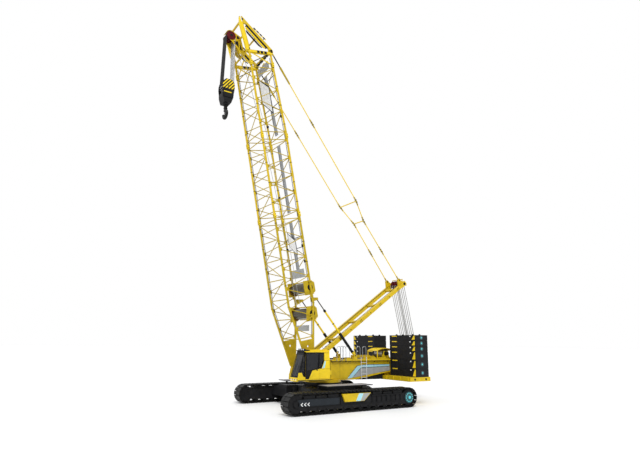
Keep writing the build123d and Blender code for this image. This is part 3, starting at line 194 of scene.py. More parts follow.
# a still darker copy of the yellow paint: deeper painted shade, for the boom's foot, the lacing and other
# parts deep in shade
YELLOW_DEEP_SHADED = paint("yellow_paint_deep_shaded", (0.46, 0.33, 0.01), 0.5, vary=0.12, bump=0.1, wear=0.4,
              wear_color=(0.26, 0.17, 0.012), specular=0.2)
BLACK = paint("black_paint", (0.009, 0.009, 0.01), 0.5, vary=0.25, bump=0.2, wear=0.5,
              wear_color=(0.035, 0.032, 0.03), specular=0.16)
SHOE = paint("shoe_steel", (0.008, 0.008, 0.008), 0.5, vary=0.3, bump=0.5, bump_scale=40, wear=0.8,
             wear_color=(0.05, 0.045, 0.04), specular=0.2)
CAST = paint("cast_slab", (0.01, 0.01, 0.012), 0.55, vary=0.2, bump=0.6, bump_scale=35, wear=0.4,
             wear_color=(0.03, 0.03, 0.03), specular=0.16)
RED = paint("red_paint", (0.085, 0.003, 0.007), 0.5, vary=0.1, bump=0.1, specular=0.15)
ROD = paint("dark_rod", (0.06, 0.05, 0.03), 0.3, metallic=0.6, vary=0.1)
ROPE = paint("wire_rope", (0.42, 0.42, 0.41), 0.38, metallic=0.75, vary=0.15, bump=0.5, bump_scale=150)
LADDER = paint("ladder_grey", (0.72, 0.73, 0.74), 0.35, metallic=0.2, vary=0.05, bump=0.1)
SIGN = paint("sign_white", (0.85, 0.85, 0.85), 0.35, vary=0.03)
TEAL = paint("teal_enamel", (0.012, 0.075, 0.085), 0.35, coat=0.3, vary=0.15, bump=0.1)
CYAN = paint("cyan_enamel", (0.1, 0.62, 0.68), 0.3, coat=0.3, vary=0.05)
SKY = paint("sky_stripe", (0.36, 0.66, 0.76), 0.35, coat=0.2, vary=0.03)
GREY = paint("grey_panel", (0.33, 0.34, 0.34), 0.38, coat=0.15, vary=0.05, bump=0.08)
PALE = paint("pale_mark", (0.8, 0.81, 0.8), 0.4, vary=0.04)
SLATE = paint("slate_cover", (0.012, 0.016, 0.021), 0.42, coat=0.04, vary=0.15, bump=0.15, specular=0.2)
RAIL = paint("rail_grey", (0.3, 0.31, 0.32), 0.35, metallic=0.3, vary=0.08, bump=0.1)
FALLS = paint("dark_falls", (0.012, 0.012, 0.013), 0.5, vary=0.2, bump=0.5, bump_scale=150, specular=0.2)
TREAD = paint("tread_plate", (0.36, 0.35, 0.37), 0.5, metallic=0.2, vary=0.1, bump=0.7, bump_scale=25)
RUBBER = paint("black_rubber", (0.012, 0.012, 0.012), 0.7, vary=0.15, bump=0.3)
LAMP = paint("lamp_lens", (0.85, 0.87, 0.9), 0.1, coat=0.8, vary=0.02)
SEAT = paint("seat_vinyl", (0.04, 0.04, 0.045), 0.6, vary=0.1, bump=0.6, bump_scale=220)
GLASS = new_material("dark_glass", Base_Color=(0.006, 0.007, 0.011, 1), Roughness=0.12, Alpha=0.9,
                     Specular_IOR_Level=0.3, Coat_Weight=0.12, Coat_Roughness=0.03)[0]

LOOKS = {
    "shoe_steel": SHOE, "black_paint": BLACK, "counterweight_black": CAST, "yellow_paint": YELLOW,
    "cab_black": BLACK, "cab_glass": GLASS, "seat_plastic": SEAT, "red_sheave": RED, "dark_rod": ROD,
    "rope_steel": ROPE, "block_black": BLACK, "hook_steel": SHOE, "ladder_grey": LADDER, "sign_white": SIGN,
}
# nodes that look different from the rest of their slot; the darker copies of the yellow paint on many of them
# are painted shade
NODE_LOOKS_AND_SHADE = {
    "boom_foot_lacing": YELLOW_DEEP_SHADED, "boom_middle_lacing": YELLOW_DEEP_SHADED, "boom_upper_lacing": YELLOW_DEEP_SHADED,
    "boom_foot_section": YELLOW_DEEP_SHADED, "boom_middle_section": YELLOW_SHADED, "boom_upper_section": YELLOW_SHADED, "boom_head": YELLOW_SHADED,
    "mast": YELLOW_SHADED, "platform_frame": YELLOW_SHADED, "luffing_drum": ROD, "luffing_winch": YELLOW_SHADED, "hoist_ropes": FALLS,
    "hoist_winches": YELLOW_DEEP_SHADED, "deck_handrails": RAIL, "counterweight_tray": YELLOW_SHADED, "track_cover_left": YELLOW_SHADED,
    "track_cover_right": YELLOW_SHADED, "boom_walkways": RAIL,
}
SLOTS = {part["node"]: part["material_slot"] for part in frame["record"]["subparts"]}
# solid plates and boxes whose edges are broken by a small bevel, in metres
BEVELS = {
    "counterweights_left": 0.012, "counterweights_right": 0.012, "counterweight_tray": 0.01,
    "platform_frame": 0.006, "cab_shell": 0.008, "engine_housing": 0.01, "mast": 0.006, "hook_block": 0.01,
    "carbody": 0.012, "boom_head": 0.005, "luffing_winch": 0.005,
}


def add_bevel(obj, width, sharp):
    """Breaks the edges that are sharper than an angle in degrees."""
    bevel = obj.modifiers.new("edge", "BEVEL")
    bevel.width = width
    bevel.segments = 2
    bevel.limit_method = "ANGLE"
    bevel.angle_limit = radians(sharp)
    return bevel


for name, node in NODES.items():
    node.data.materials.clear()
    node.data.materials.append(NODE_LOOKS_AND_SHADE.get(name, LOOKS[SLOTS[name]]))
    if name in BEVELS:
        add_bevel(node, BEVELS[name], 35).harden_normals = False


# ---- mesh pieces
SMOOTH_BELOW = 34           # degrees; edges sharper than this are drawn and bevelled as edges


def prism_faces(count):
    """Faces of a prism from the numbers of its points: one end's first, then the other's."""
    ends = [tuple(range(count)), tuple(range(2 * count - 1, count - 1, -1))]
    return ends + [(i, i + count, (i + 1) % count + count, (i + 1) % count) for i in range(count)]


def around(x, z, radius, count):
    """Points spread evenly on a circle."""
    for turn in range(count):
        angle = radians(360 / count * turn)
        yield x + radius * cos(angle), z + radius * sin(angle)


class Piece:
    """Boxes, bars and outlines gathered into one mesh that rides on a body."""

    def __init__(self, name, body, look, slot, place=Matrix.Identity(4)):
        self.name, self.body, self.look, self.slot, self.place = name, body, look, slot, place
        self.mesh = bmesh.new()

    def shape(self, points, faces, place=None):
        place = place or self.place
        verts = [self.mesh.verts.new(place @ Vector(p)) for p in points]
        for face in faces:
            self.mesh.faces.new([verts[i] for i in face])

    def box(self, low, high, place=None):
        (a, b, c), (d, e, f) = low, high
        corners = [(x, y, z) for x in (a, d) for y in (b, e) for z in (c, f)]
        faces = [(0, 1, 3, 2), (4, 6, 7, 5), (0, 4, 5, 1), (2, 3, 7, 6), (0, 2, 6, 4), (1, 5, 7, 3)]
        self.shape(corners, faces, place)

    def outline(self, points, low, high):
        """An outline in X and Z, filled and extruded from low to high along Y."""
        self.shape([(x, y, z) for y in (low, high) for x, z in points], prism_faces(len(points)))

    def bar(self, a, b, radius, end_radius=None, sides=16, place=None):
        place = place or self.place
        a, b = place @ Vector(a), place @ Vector(b)
        along = b - a
        turn = along.to_track_quat("Z", "Y").to_matrix().to_4x4()
        bmesh.ops.create_cone(self.mesh, cap_ends=True, segments=sides, radius1=radius,
                              radius2=radius if end_radius is None else end_radius, depth=along.length,
                              matrix=Matrix.Translation((a + b) / 2) @ turn)

    def pin(self, x, z, low, high, radius, end_radius=None, sides=16, place=None):
        """A bar from low to high along Y."""
        self.bar((x, low, z), (x, high, z), radius, end_radius, sides, place)

    def across(self, middle, half, radius, sides=16):
        """A bar along Y with its middle at a point."""
        self.pin(middle.x, middle.z, middle.y - half, middle.y + half, radius, sides=sides)

    def bolts(self, points, low, high, radius=0.018):
        """Hexagon heads along Y at points in X and Z."""
        for x, z in points:
            self.pin(x, z, low, high, radius, sides=6)

    def ring(self, centre, axis, inner, outer, thick, sides=32, gaps=0):
        """A flat ring; with gaps, every other part of it is left out."""
        turn = (self.place.to_3x3() @ Vector(axis)).to_track_quat("Z", "Y").to_matrix().to_4x4()
        place = Matrix.Translation(self.place @ Vector(centre)) @ turn
        steps = gaps * 2 if gaps else 1
        for part in range(0, steps, 2 if gaps else 1):
            count = max(sides // steps, 2)
            start = 2 * pi * part / steps
            angles = [start + 2 * pi / steps * i / count for i in range(count + 1)]
            points = [(r * cos(t), r * sin(t), z) for t in angles
                      for r, z in ((inner, 0), (outer, 0), (outer, thick), (inner, thick))]
            faces = [(a + k, a + 4 + k, a + 4 + (k + 1) % 4, a + (k + 1) % 4)
                     for a in range(0, 4 * count, 4) for k in range(4)]
            if gaps:
                faces += [(0, 1, 2, 3), (4 * count + 3, 4 * count + 2, 4 * count + 1, 4 * count)]
            self.shape(points, faces, place)

    def ball(self, centre, radius):
        bmesh.ops.create_uvsphere(self.mesh, u_segments=12, v_segments=8, radius=radius,
                                  matrix=Matrix.Translation(self.place @ Vector(centre)))

    def chain(self, points, radius, sides=8):
        """Bars from each point to the next."""
        for a, b in zip(points, points[1:]):
            self.bar(a, b, radius, sides=sides)

    def pipe(self, points, radius, sides=10):
        """A round tube through a list of points, with balls at its bends."""
        self.chain(points, radius, sides)
        for p in points[1:-1]:
            self.ball(p, radius)

    def done(self, bevel=0.0):
        bmesh.ops.remove_doubles(self.mesh, verts=self.mesh.verts, dist=1e-6)
        bmesh.ops.recalc_face_normals(self.mesh, faces=self.mesh.faces)
        for face in self.mesh.faces:
            face.smooth = True
        for edge in self.mesh.edges:
            if len(edge.link_faces) != 2 or edge.calc_face_angle(0) > radians(SMOOTH_BELOW):
                edge.smooth = False
        data = bpy.data.meshes.new(self.name)
        self.mesh.to_mesh(data)
        self.mesh.free()
        data.materials.append(self.look)
        piece = bpy.data.objects.new(self.name, data)
        bpy.context.scene.collection.objects.link(piece)
        if bevel:
            add_bevel(piece, bevel, SMOOTH_BELOW)
        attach(piece, self.body)
        return piece


def pieces(body, slot, place=Matrix.Identity(4), **looks):
    """Several pieces of one body by name and look, drawn in the frame called place."""
    return [Piece(name, body, look, slot, place) for name, look in looks.items()]


# ---- crawlers
TRACK_LOW, TRACK_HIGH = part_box("track_left")
TRACK_Y = (TRACK_LOW[1] + TRACK_HIGH[1]) / 2
AXLE_Z = (TRACK_HIGH[2] - TRACK_LOW[2]) / 2
WHEEL_X = 5.085
SHOE_COUNT = 72
SHOE_SHARE = 0.84
SHOE_HALF = (TRACK_HIGH[1] - TRACK_LOW[1]) / 2
CHEEK_Y = 0.4              # outer face of the side frame's cheek, from the track's middle
ROLLER_Z = 0.351
SIDES = (("left", 1), ("right", -1))


def loop_point(s):
    """Point of a track's outer line at a path length s."""
    straight, arc = 2 * WHEEL_X, pi * AXLE_Z
    s %= 2 * straight + 2 * arc
    if s < straight:
        return Vector((-WHEEL_X + s, 0, 2 * AXLE_Z))
    s -= straight
    if s < arc:
        turn = s / AXLE_Z
        return Vector((WHEEL_X + AXLE_Z * sin(turn), 0, AXLE_Z + AXLE_Z * cos(turn)))
    s -= arc
    if s < straight:
        return Vector((WHEEL_X - s, 0, 0))
    turn = (s - straight) / AXLE_Z
    return Vector((-WHEEL_X - AXLE_Z * sin(turn), 0, AXLE_Z - AXLE_Z * cos(turn)))


def build_track(side, sign):
    """Shoes with pads and end lugs, on two rows of links with their pins."""
    shoes = Piece(f"track_shoes_{side}", "undercarriage", SHOE, "shoe_steel")
    pitch = (4 * WHEEL_X + 2 * pi * AXLE_Z) / SHOE_COUNT
    reach = SHOE_HALF
    for i in range(SHOE_COUNT):
        a, b = loop_point(i * pitch), loop_point((i + SHOE_SHARE) * pitch)
        along = (b - a).normalized()
        out = Vector((0, 1, 0)).cross(along) * -1
        place = with_axes((a + b) / 2 + Vector((0, sign * TRACK_Y, 0)), along, (0, 1, 0), out)
        half = (b - a).length / 2
        # plate, two pads, two lugs and two links: share of the half length, and extents in Y and height
        for share, y0, y1, z0, z1 in (
                (1, -reach, reach, -0.052, -0.014),
                (0.92, 0.012 - reach, -0.212, -0.03, 0), (0.92, 0.212, reach - 0.012, -0.03, 0),
                (0.62, -reach, 0.13 - reach, -0.098, -0.04), (0.62, reach - 0.13, reach, -0.098, -0.04),
                (1.12, -0.285, -0.195, -0.158, -0.05), (1.12, 0.195, 0.285, -0.158, -0.05)):
            shoes.box((-half * share, y0, z0), (half * share, y1, z1), place)
        for y in (-0.24, 0.24):
            shoes.pin(half * 0.95, -0.108, y - 0.075, y + 0.075, 0.034, sides=10, place=place)
    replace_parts(shoes.done(), f"track_{side}")


def build_side_frame(side, sign):
    """Outer face of a crawler's side frame: ribs, roller caps, cover and wheel hubs."""
    face = sign * (TRACK_Y + CHEEK_Y)

    def out(*depths):
        return [face + sign * depth for depth in depths]

    ribs, cover, marks, teal, cyan, bolts = pieces(
        "undercarriage", "black_paint", **{
            f"frame_ribs_{side}": BLACK, f"frame_cover_{side}": SLATE, f"frame_marks_{side}": PALE,
            f"hub_disc_{side}": TEAL, f"hub_ring_{side}": CYAN, f"frame_bolts_{side}": SHOE})

    def slab(piece, x0, x1, z0, z1, depth):
        piece.box((x0, face, z0), (x1, face + sign * depth, z1))

    for i in range(7):
        x = -1.45 - i * 0.46
        slab(ribs, x - 0.03, x + 0.03, 0.6, 1.05, 0.07)
        if i < 6:
            slab(ribs, x - 0.34, x - 0.12, 0.68, 0.98, 0.012)
    slab(ribs, -4.35, -1.35, 1.04, 1.09, 0.09)
    for i in range(9):
        x, top = -4.45 + i, 1.27 if i % 2 else 1.31
        ribs.box((x, sign * (TRACK_Y - 0.34), 1.08), (x + 0.9, sign * (TRACK_Y + 0.34), top))
    slab(ribs, -4.3, 4.3, 0.545, 0.585, 0.05)
    for x in (-4.3, 1.42, 5.05):
        slab(ribs, x - 0.05, x + 0.05, 0.56, 1.08, 0.06)
    slab(cover, 1.55, 4.98, 0.6, 1.06, 0.05)
    for x0, x1 in ((1.62, 3.1), (3.3, 4.9)):
        slab(cover, x0, x1, 0.65, 1.01, 0.062)
    bolts.bolts([(x, z) for x in (1.6, 2.4, 3.2, 4.0, 4.93) for z in (0.63, 1.03)], *out(0.04, 0.066))
    for i in range(3):
        x = 4.8 - i * 0.27
        arrow = [(x, 0.74), (x - 0.16, 0.86), (x - 0.205, 0.835), (x - 0.085, 0.74), (x - 0.205, 0.645),
                 (x - 0.16, 0.62)]
        marks.outline(arrow, *out(0.061, 0.066))
    for i in range(12):
        x = -4.11 + i * 8.22 / 11
        bolts.pin(x, ROLLER_Z, *out(-0.04, 0.05), 0.075, 0.06)
        bolts.bolts(around(x, ROLLER_Z, 0.045, 5), *out(0.045, 0.06), 0.01)
    hub, front = -WHEEL_X, WHEEL_X
    teal.pin(hub, AXLE_Z, *out(0.03, 0.085), 0.43, 0.4, sides=48)
    teal.pin(hub, AXLE_Z, *out(0.08, 0.125), 0.24, 0.21, sides=36)
    cyan.ring((hub, face + sign * 0.083, AXLE_Z), (0, sign, 0), 0.285, 0.345, 0.014, sides=72, gaps=12)
    cyan.pin(hub, AXLE_Z, *out(0.12, 0.155), 0.125, 0.11, sides=28)
    bolts.bolts(around(hub, AXLE_Z, 0.39, 16), *out(0.08, 0.105))
    ribs.pin(front, AXLE_Z, *out(0.0, 0.05), 0.25, 0.22, sides=32)
    bolts.bolts(around(front, AXLE_Z, 0.18, 8), *out(0.04, 0.07))
    for piece, bevel in ((ribs, 0.006), (cover, 0.006), (marks, 0), (teal, 0.006), (cyan, 0), (bolts, 0)):
        piece.done(bevel)


def build_cover_stripe(side, sign):
    """Slanted stripe, grey end and bolts on the yellow side cover."""
    low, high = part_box(f"track_cover_{side}")
    y = high[1] if sign > 0 else low[1]
    rear, z0, z1 = low[0], low[2] + 0.015, high[2] - 0.015
    stripe, end, bolts = pieces("undercarriage", "yellow_paint", **{
        f"cover_stripe_{side}": SKY, f"cover_end_{side}": GREY, f"cover_bolts_{side}": BLACK})
    skin = (y - sign * 0.002, y + sign * 0.004)
    stripe.outline([(0.16, z0), (-0.26, z0), (-0.54, z1), (-0.12, z1)], *skin)
    end.outline([(-0.3, z0), (rear + 0.65, z0), (rear + 0.06, z1), (-0.58, z1)], *skin)
    bolts.bolts([(x, z) for x in (rear + 0.75, (rear + high[0]) / 2, high[0] - 0.38)
                 for z in (z0 + 0.03, z1 - 0.03)], y - sign * 0.004, y + sign * 0.014)
    for piece in (stripe, end, bolts):
        piece.done()


for side, sign in SIDES:
    build_track(side, sign)
    build_side_frame(side, sign)
    build_cover_stripe(side, sign)


# ---- carbody
def build_carbody():
    """Bolt ring, pins of the legs, hoses, treads and jack feet of the carbody."""
    steel, treads, hoses = pieces("undercarriage", "black_paint", carbody_fittings=BLACK, deck_treads=TREAD,
                                  carbody_hoses=RUBBER)
    low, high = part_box("slewing_ring")
    radius = (high[0] - low[0]) / 2
    steel.ring((0, 0, low[2] + 0.02), (0, 0, 1), radius - 0.02, radius + 0.1, 0.05, sides=72)
    for x, y in around(0, 0, radius + 0.055, 48):
        steel.bar((x, y, low[2] + 0.06), (x, y, low[2] + 0.11), 0.022, sides=6)
    for sign in (1, -1):
        for x in (-2.35, 2.35):
            for dx in (-0.38, 0.38):
                for z in (0.74, 0.98):
                    steel.bar((x + dx - 0.02, sign * 3.62, z), (x + dx + 0.02, sign * 3.62, z), 0.07)
            steel.box((x - 0.44, sign * 3.3, 0.66), (x + 0.44, sign * 3.36, 1.19))
            steel.box((x - 0.05, sign * 2.0, 1.4), (x + 0.05, sign * 3.2, 1.44))
    for x in (-1.905, 1.905):
        sign = copysign(1, x)
        jack_x = x + sign * 0.2
        for y in (-1.1, 1.1):
            steel.box((x, y - 0.25, 0.7), (x + sign * 0.16, y + 0.25, 1.46))
            for z0, z1, r, sides in ((0.6, 1.4, 0.11, 20), (0.5, 0.56, 0.19, 24), (0.55, 0.62, 0.06, 16)):
                steel.bar((jack_x, y, z0), (jack_x, y, z1), r, sides=sides)
        for end, bend, z0, z1, sag, r in ((0.5, 0.4, 1.2, 1.05, 0.12, 0.022),
                                          (0.6, 0.45, 1.3, 1.12, 0.15, 0.018)):
            out = x + sign * sag
            hoses.pipe([(x, -end, z0), (out, -bend, z1), (out, bend, z1), (x, end, z0)], r)
    low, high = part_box("carbody_decks")
    top = high[2]
    for sign in (-1, 1):
        treads.box((low[0] + 0.03, sign * 2.53, top - 0.002), (high[0] - 0.03, sign * 3.87, top + 0.004))
        for i in range(14):
            x = low[0] + 0.2 + i * (high[0] - low[0] - 0.4) / 13
            treads.box((x - 0.02, sign * 2.58, top), (x + 0.02, sign * 3.82, top + 0.012))
    steel.done(0.004)
    treads.done(0.004)
    hoses.done()


build_carbody()


# ---- platform
DECK_Z = 3.55
FRAME_Y = 1.05              # side plates of the revolving frame
DECK_Y = 1.25


def build_platform():
    """Panels, stripes, deck edge with a strip of painted shadow below it, treads and fittings of the revolving
    frame, and a dark sheet of painted shade beneath it.
    """
    yellow, dark, sky, grey, tread, pale = pieces(
        "superstructure", "yellow_paint", platform_panels=YELLOW_SHADED, platform_seams=BLACK, platform_stripe=SKY,
        platform_grey=GREY, deck_treads_upper=TREAD, platform_lights=LAMP)
    for sign in (1, -1):
        def plate(piece, points, low, high):
            piece.outline(points, sign * (FRAME_Y + low), sign * (FRAME_Y + high))
        plate(dark, [(0.1, 2.0), (-6.18, 2.56), (-6.18, 3.5), (0.1, 3.5)], -0.01, 0.004)
        plate(yellow, [(0.02, 2.05), (-1.6, 2.05), (-2.62, 3.05), (-3.3, 3.14), (-6.1, 3.14), (-6.1, 3.46),
                       (0.02, 3.46)], 0.0, 0.022)
        plate(sky, [(-1.66, 2.05), (-2.12, 2.09), (-3.05, 2.9), (-6.12, 2.97), (-6.12, 3.1), (-3.25, 3.1),
                    (-2.68, 3.02)], 0.0, 0.02)
        plate(grey, [(-2.18, 2.1), (-6.14, 2.6), (-6.14, 2.93), (-3.08, 2.86)], 0.0, 0.018)
        for x in (-0.9, -4.4):
            plate(dark, [(x, 2.06), (x - 0.012, 2.06), (x - 0.012, 3.44), (x, 3.44)], 0.021, 0.0235)
        for x in (-0.1, -1.5, -3.0, -4.5, -5.9):
            plate(dark, [(x - 0.03, DECK_Z - 0.05), (x + 0.03, DECK_Z - 0.05), (x + 0.03, DECK_Z - 0.22),
                         (x - 0.03, DECK_Z - 0.22)], 0.0, 0.05 if sign > 0 else DECK_Y - 0.03 - FRAME_Y)
        yellow.box((-6.08, sign * (DECK_Y - 0.002), DECK_Z - 0.1),
                   (-0.02, sign * (DECK_Y + 0.012), DECK_Z + 0.03))
        # a dark strip under the deck's edge: painted shadow of the overhanging deck
        dark.box((-6.06, sign * (DECK_Y - 0.03), DECK_Z - 0.15), (-0.04, sign * DECK_Y, DECK_Z - 0.1))
        for x, length in ((-0.5, 0.55), (-1.6, 0.45), (-4.1, 0.6), (-5.2, 0.6)):
            y = sign * 0.85
            yellow.box((x - length, y - 0.18, DECK_Z), (x, y + 0.18, DECK_Z + 0.16))
            dark.box((x - length + 0.04, y - 0.14, DECK_Z + 0.158), (x - 0.04, y + 0.14, DECK_Z + 0.168))
    for i in range(18):
        x = -0.15 - i * 0.33
        if not -2.75 < x < -1.95:
            tread.box((x - 0.27, -1.2, DECK_Z - 0.001), (x, 1.2, DECK_Z + 0.008))
    for y in (-0.45, 0.0, 0.45):
        dark.pipe([(0.3, y, 3.42), (0.0, y, 3.62), (-1.2, y * 0.8, 3.62), (-5.0, y * 0.6, 3.62),
                   (-5.2, y * 0.6, 3.58)], 0.028)
    yellow.box((-5.0, -0.62, DECK_Z), (-3.2, -0.2, 3.86))
    yellow.box((-4.8, 0.25, DECK_Z), (-3.6, 0.7, 3.8))
    for x in (-4.85, -4.25, -3.65):
        dark.box((x, -0.621, 3.6), (x + 0.4, -0.619, 3.8))
    # a dark sheet with ribs under the platform: painted shade for its underside
    dark.outline([(-2.6, 1.93), (-5.42, 1.9), (-5.42, 2.37), (-2.6, 1.955)], -0.96, 0.96)
    for x in (-3.3, -4.1, -4.9):
        dark.box((x - 0.03, -0.99, 1.92), (x + 0.03, 0.99, 1.96 + (-2.6 - x) * 0.13))
    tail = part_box("platform_frame")[0][0]
    for y in (-0.8, 0.8):
        dark.box((tail - 0.004, y - 0.12, 3.0), (tail + 0.01, y + 0.12, 3.14))
        pale.box((tail - 0.008, y - 0.09, 3.02), (tail - 0.003, y + 0.09, 3.12))
    for x in (-9.0, -8.3):
        for sign in (1, -1):
            yellow.box((x - 0.05, sign * 1.05, 2.72), (x + 0.05, sign * 1.09, 3.5))
    yellow.done(0.003)
    for piece in (dark, sky, grey, tread, pale):
        piece.done()


build_platform()


# ---- counterweights
SLAB_HEIGHTS = (0.68, 0.68, 0.68, 0.45, 0.45, 0.45)


def build_stack(side, sign):
    """Marks, discs, lugs and seats on one stack of slabs."""
    low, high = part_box(f"counterweights_{side}")
    marks, small, teal, cyan, iron = pieces("superstructure", "counterweight_black", **{
        f"slab_marks_{side}": YELLOW, f"slab_dots_{side}": PALE, f"slab_discs_{side}": TEAL,
        f"slab_centres_{side}": CYAN, f"slab_lugs_{side}": CAST})
    inner, outer = (low[1], high[1]) if sign > 0 else (high[1], low[1])
    z = low[2]
    middle = (low[0] + high[0]) / 2

    def patch(piece, x, points):
        """A thin plate on a face of constant x, from points in Y and Z."""
        piece.shape([(end, y, h) for end in (x - 0.004, x + 0.004) for y, h in points],
                    prism_faces(len(points)))

    for height in SLAB_HEIGHTS:
        top = z + height - 0.024
        dash, edge, dot = inner + sign * 0.3, outer - sign * 0.06, outer - sign * 0.62
        for x in (high[0], low[0]):
            patch(marks, x, [(dash, top - 0.12), (dash + sign * 0.65, top - 0.12),
                             (dash + sign * 0.65, top - 0.045), (dash, top - 0.045)])
            patch(marks, x, [(edge - sign * 0.36, z + 0.05), (edge, z + 0.05), (edge, top - 0.05),
                             (edge - sign * 0.1, top - 0.05)])
            patch(small, x, [(dot - 0.07, top - 0.15), (dot + 0.07, top - 0.15), (dot + 0.07, top - 0.06),
                             (dot - 0.07, top - 0.06)])
        y0, y1 = outer - sign * 0.03, outer + sign * 0.012
        centre = (z + top) / 2
        teal.pin(middle, centre, y0, y1, 0.17, 0.155, sides=28)
        cyan.pin(middle, centre, y1 - sign * 0.01, y1 + sign * 0.012, 0.062, 0.05, sides=20)
        for x in (low[0] + 0.18, high[0] - 0.18):
            iron.pin(x, top - 0.09, y0, y1 + sign * 0.02, 0.045, 0.04, sides=14)
        z += height
    for x in (low[0] + 0.32, high[0] - 0.32):
        for share in (0.18, 0.82):
            y = low[1] + (high[1] - low[1]) * share
            lug = [(x - 0.1, z - 0.03), (x + 0.1, z - 0.03), (x + 0.06, z + 0.065), (x - 0.06, z + 0.065)]
            iron.outline(lug, y - 0.03, y + 0.03)
            iron.pin(x, z + 0.02, y - 0.045, y + 0.045, 0.03, sides=14)
    for piece in (marks, small, teal, cyan, iron):
        piece.done(0.004 if piece is teal else 0)


for side, sign in SIDES:
    build_stack(side, sign)


def build_tray():
    """Ribs and pins of the counterweight tray."""
    yellow, dark = pieces("superstructure", "yellow_paint", tray_ribs=YELLOW, tray_pins=BLACK)
    low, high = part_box("counterweight_tray")
    for sign in (1, -1):
        for y in (1.4, 2.3, 3.2, 4.1):
            for x, way in ((high[0], 1), (low[0], -1)):
                yellow.box((x - way * 0.002, sign * y - 0.03, low[2] + 0.03),
                           (x + way * 0.03, sign * y + 0.03, low[2] + 0.31))
        for x in (low[0] + 0.5, high[0] - 0.5):
            dark.pin(x, low[2] + 0.165, sign * 4.33, sign * 4.375, 0.09, 0.08, sides=24)
        for x in (-7.1, -6.1):
            dark.pin(x, 2.75, sign * 0.69, sign * 0.76, 0.1, 0.09, sides=24)
    yellow.done(0.004)
    dark.done(0.004)


build_tray()


# ---- luffing winch and handrails
def build_luffing_winch():
    """Rope on the drum, its motors with their bolts, and ribs under the winch's canopy."""
    rope, dark, yellow = pieces("superstructure", "yellow_paint", luffing_drum_rope=ROPE, luffing_motors=BLACK,
                                winch_canopy_ribs=YELLOW)
    low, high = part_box("luffing_drum")
    x, z = (low[0] + high[0]) / 2, (low[2] + high[2]) / 2
    turns = 20
    for i in range(turns):
        y = -0.56 + i * 1.12 / (turns - 1)
        rope.ring((x, y - 0.026, z), (0, 1, 0), 0.296, 0.326, 0.052, sides=40)
    for sign in (1, -1):
        dark.pin(x, z, sign * 0.7, sign * 0.8, 0.2, 0.18, sides=28)
        dark.pin(x, z, sign * 0.78, sign * 1.00, 0.12, 0.11, sides=24)
        dark.bolts(around(x, z, 0.165, 10), sign * 0.79, sign * 0.82, 0.014)
    low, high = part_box("winch_guard")
    half, top, rise = (high[0] - low[0]) / 2, high[2] - 0.045, 0.23
    radius = (half ** 2 + rise ** 2) / (2 * rise)
    steps = [-half + 0.04 + i * (2 * half - 0.08) / 12 for i in range(13)]
    for y in (-0.69, 0.0, 0.66):
        yellow.chain([(x + dx, y, top - radius + sqrt(radius ** 2 - dx ** 2)) for dx in steps], 0.018)
    for piece in (rope, dark, yellow):
        piece.done(0.003 if piece is dark else 0)


build_luffing_winch()


def build_hoops():
    """Two narrow hoops of tube in place of each wide handrail."""
    hoops = Piece("deck_hoops", "superstructure", RAIL, "ladder_grey")
    front_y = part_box("deck_handrails")[1][1] - 0.026
    foot, top = DECK_Z - 0.05, DECK_Z + 1.04
    for x0, x1, y in ((-1.32, -0.43, front_y), (-3.48, -2.5, 1.215)):
        for sign in (1, -1):
            for a, b in ((x0, x0 + 0.36), (x1 - 0.36, x1)):
                hoops.pipe([(a, sign * y, foot), (a, sign * y, top - 0.12), (a + 0.08, sign * y, top),
                            (b - 0.08, sign * y, top), (b, sign * y, top - 0.12), (b, sign * y, foot)], 0.021)
                for x in (a, b):
                    hoops.box((x - 0.045, sign * 1.16, foot), (x + 0.045, sign * (y + 0.026), foot + 0.025))
    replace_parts(hoops.done(), "deck_handrails")


build_hoops()


# ---- cab
CAB_LEFT, CAB_RIGHT = 2.74, 1.66
CAB_NOSE = (4.03, 2.3)
CAB_ROOF_FRONT = (3.43, 4.27)
CAB_REAR = 1.13
DOOR_FACE = 2.791


def nose_x(z):
    """Front edge of the cab's outline at a height z."""
    share = (z - CAB_NOSE[1]) / (CAB_ROOF_FRONT[1] - CAB_NOSE[1])
    return CAB_NOSE[0] + (CAB_ROOF_FRONT[0] - CAB_NOSE[0]) * share


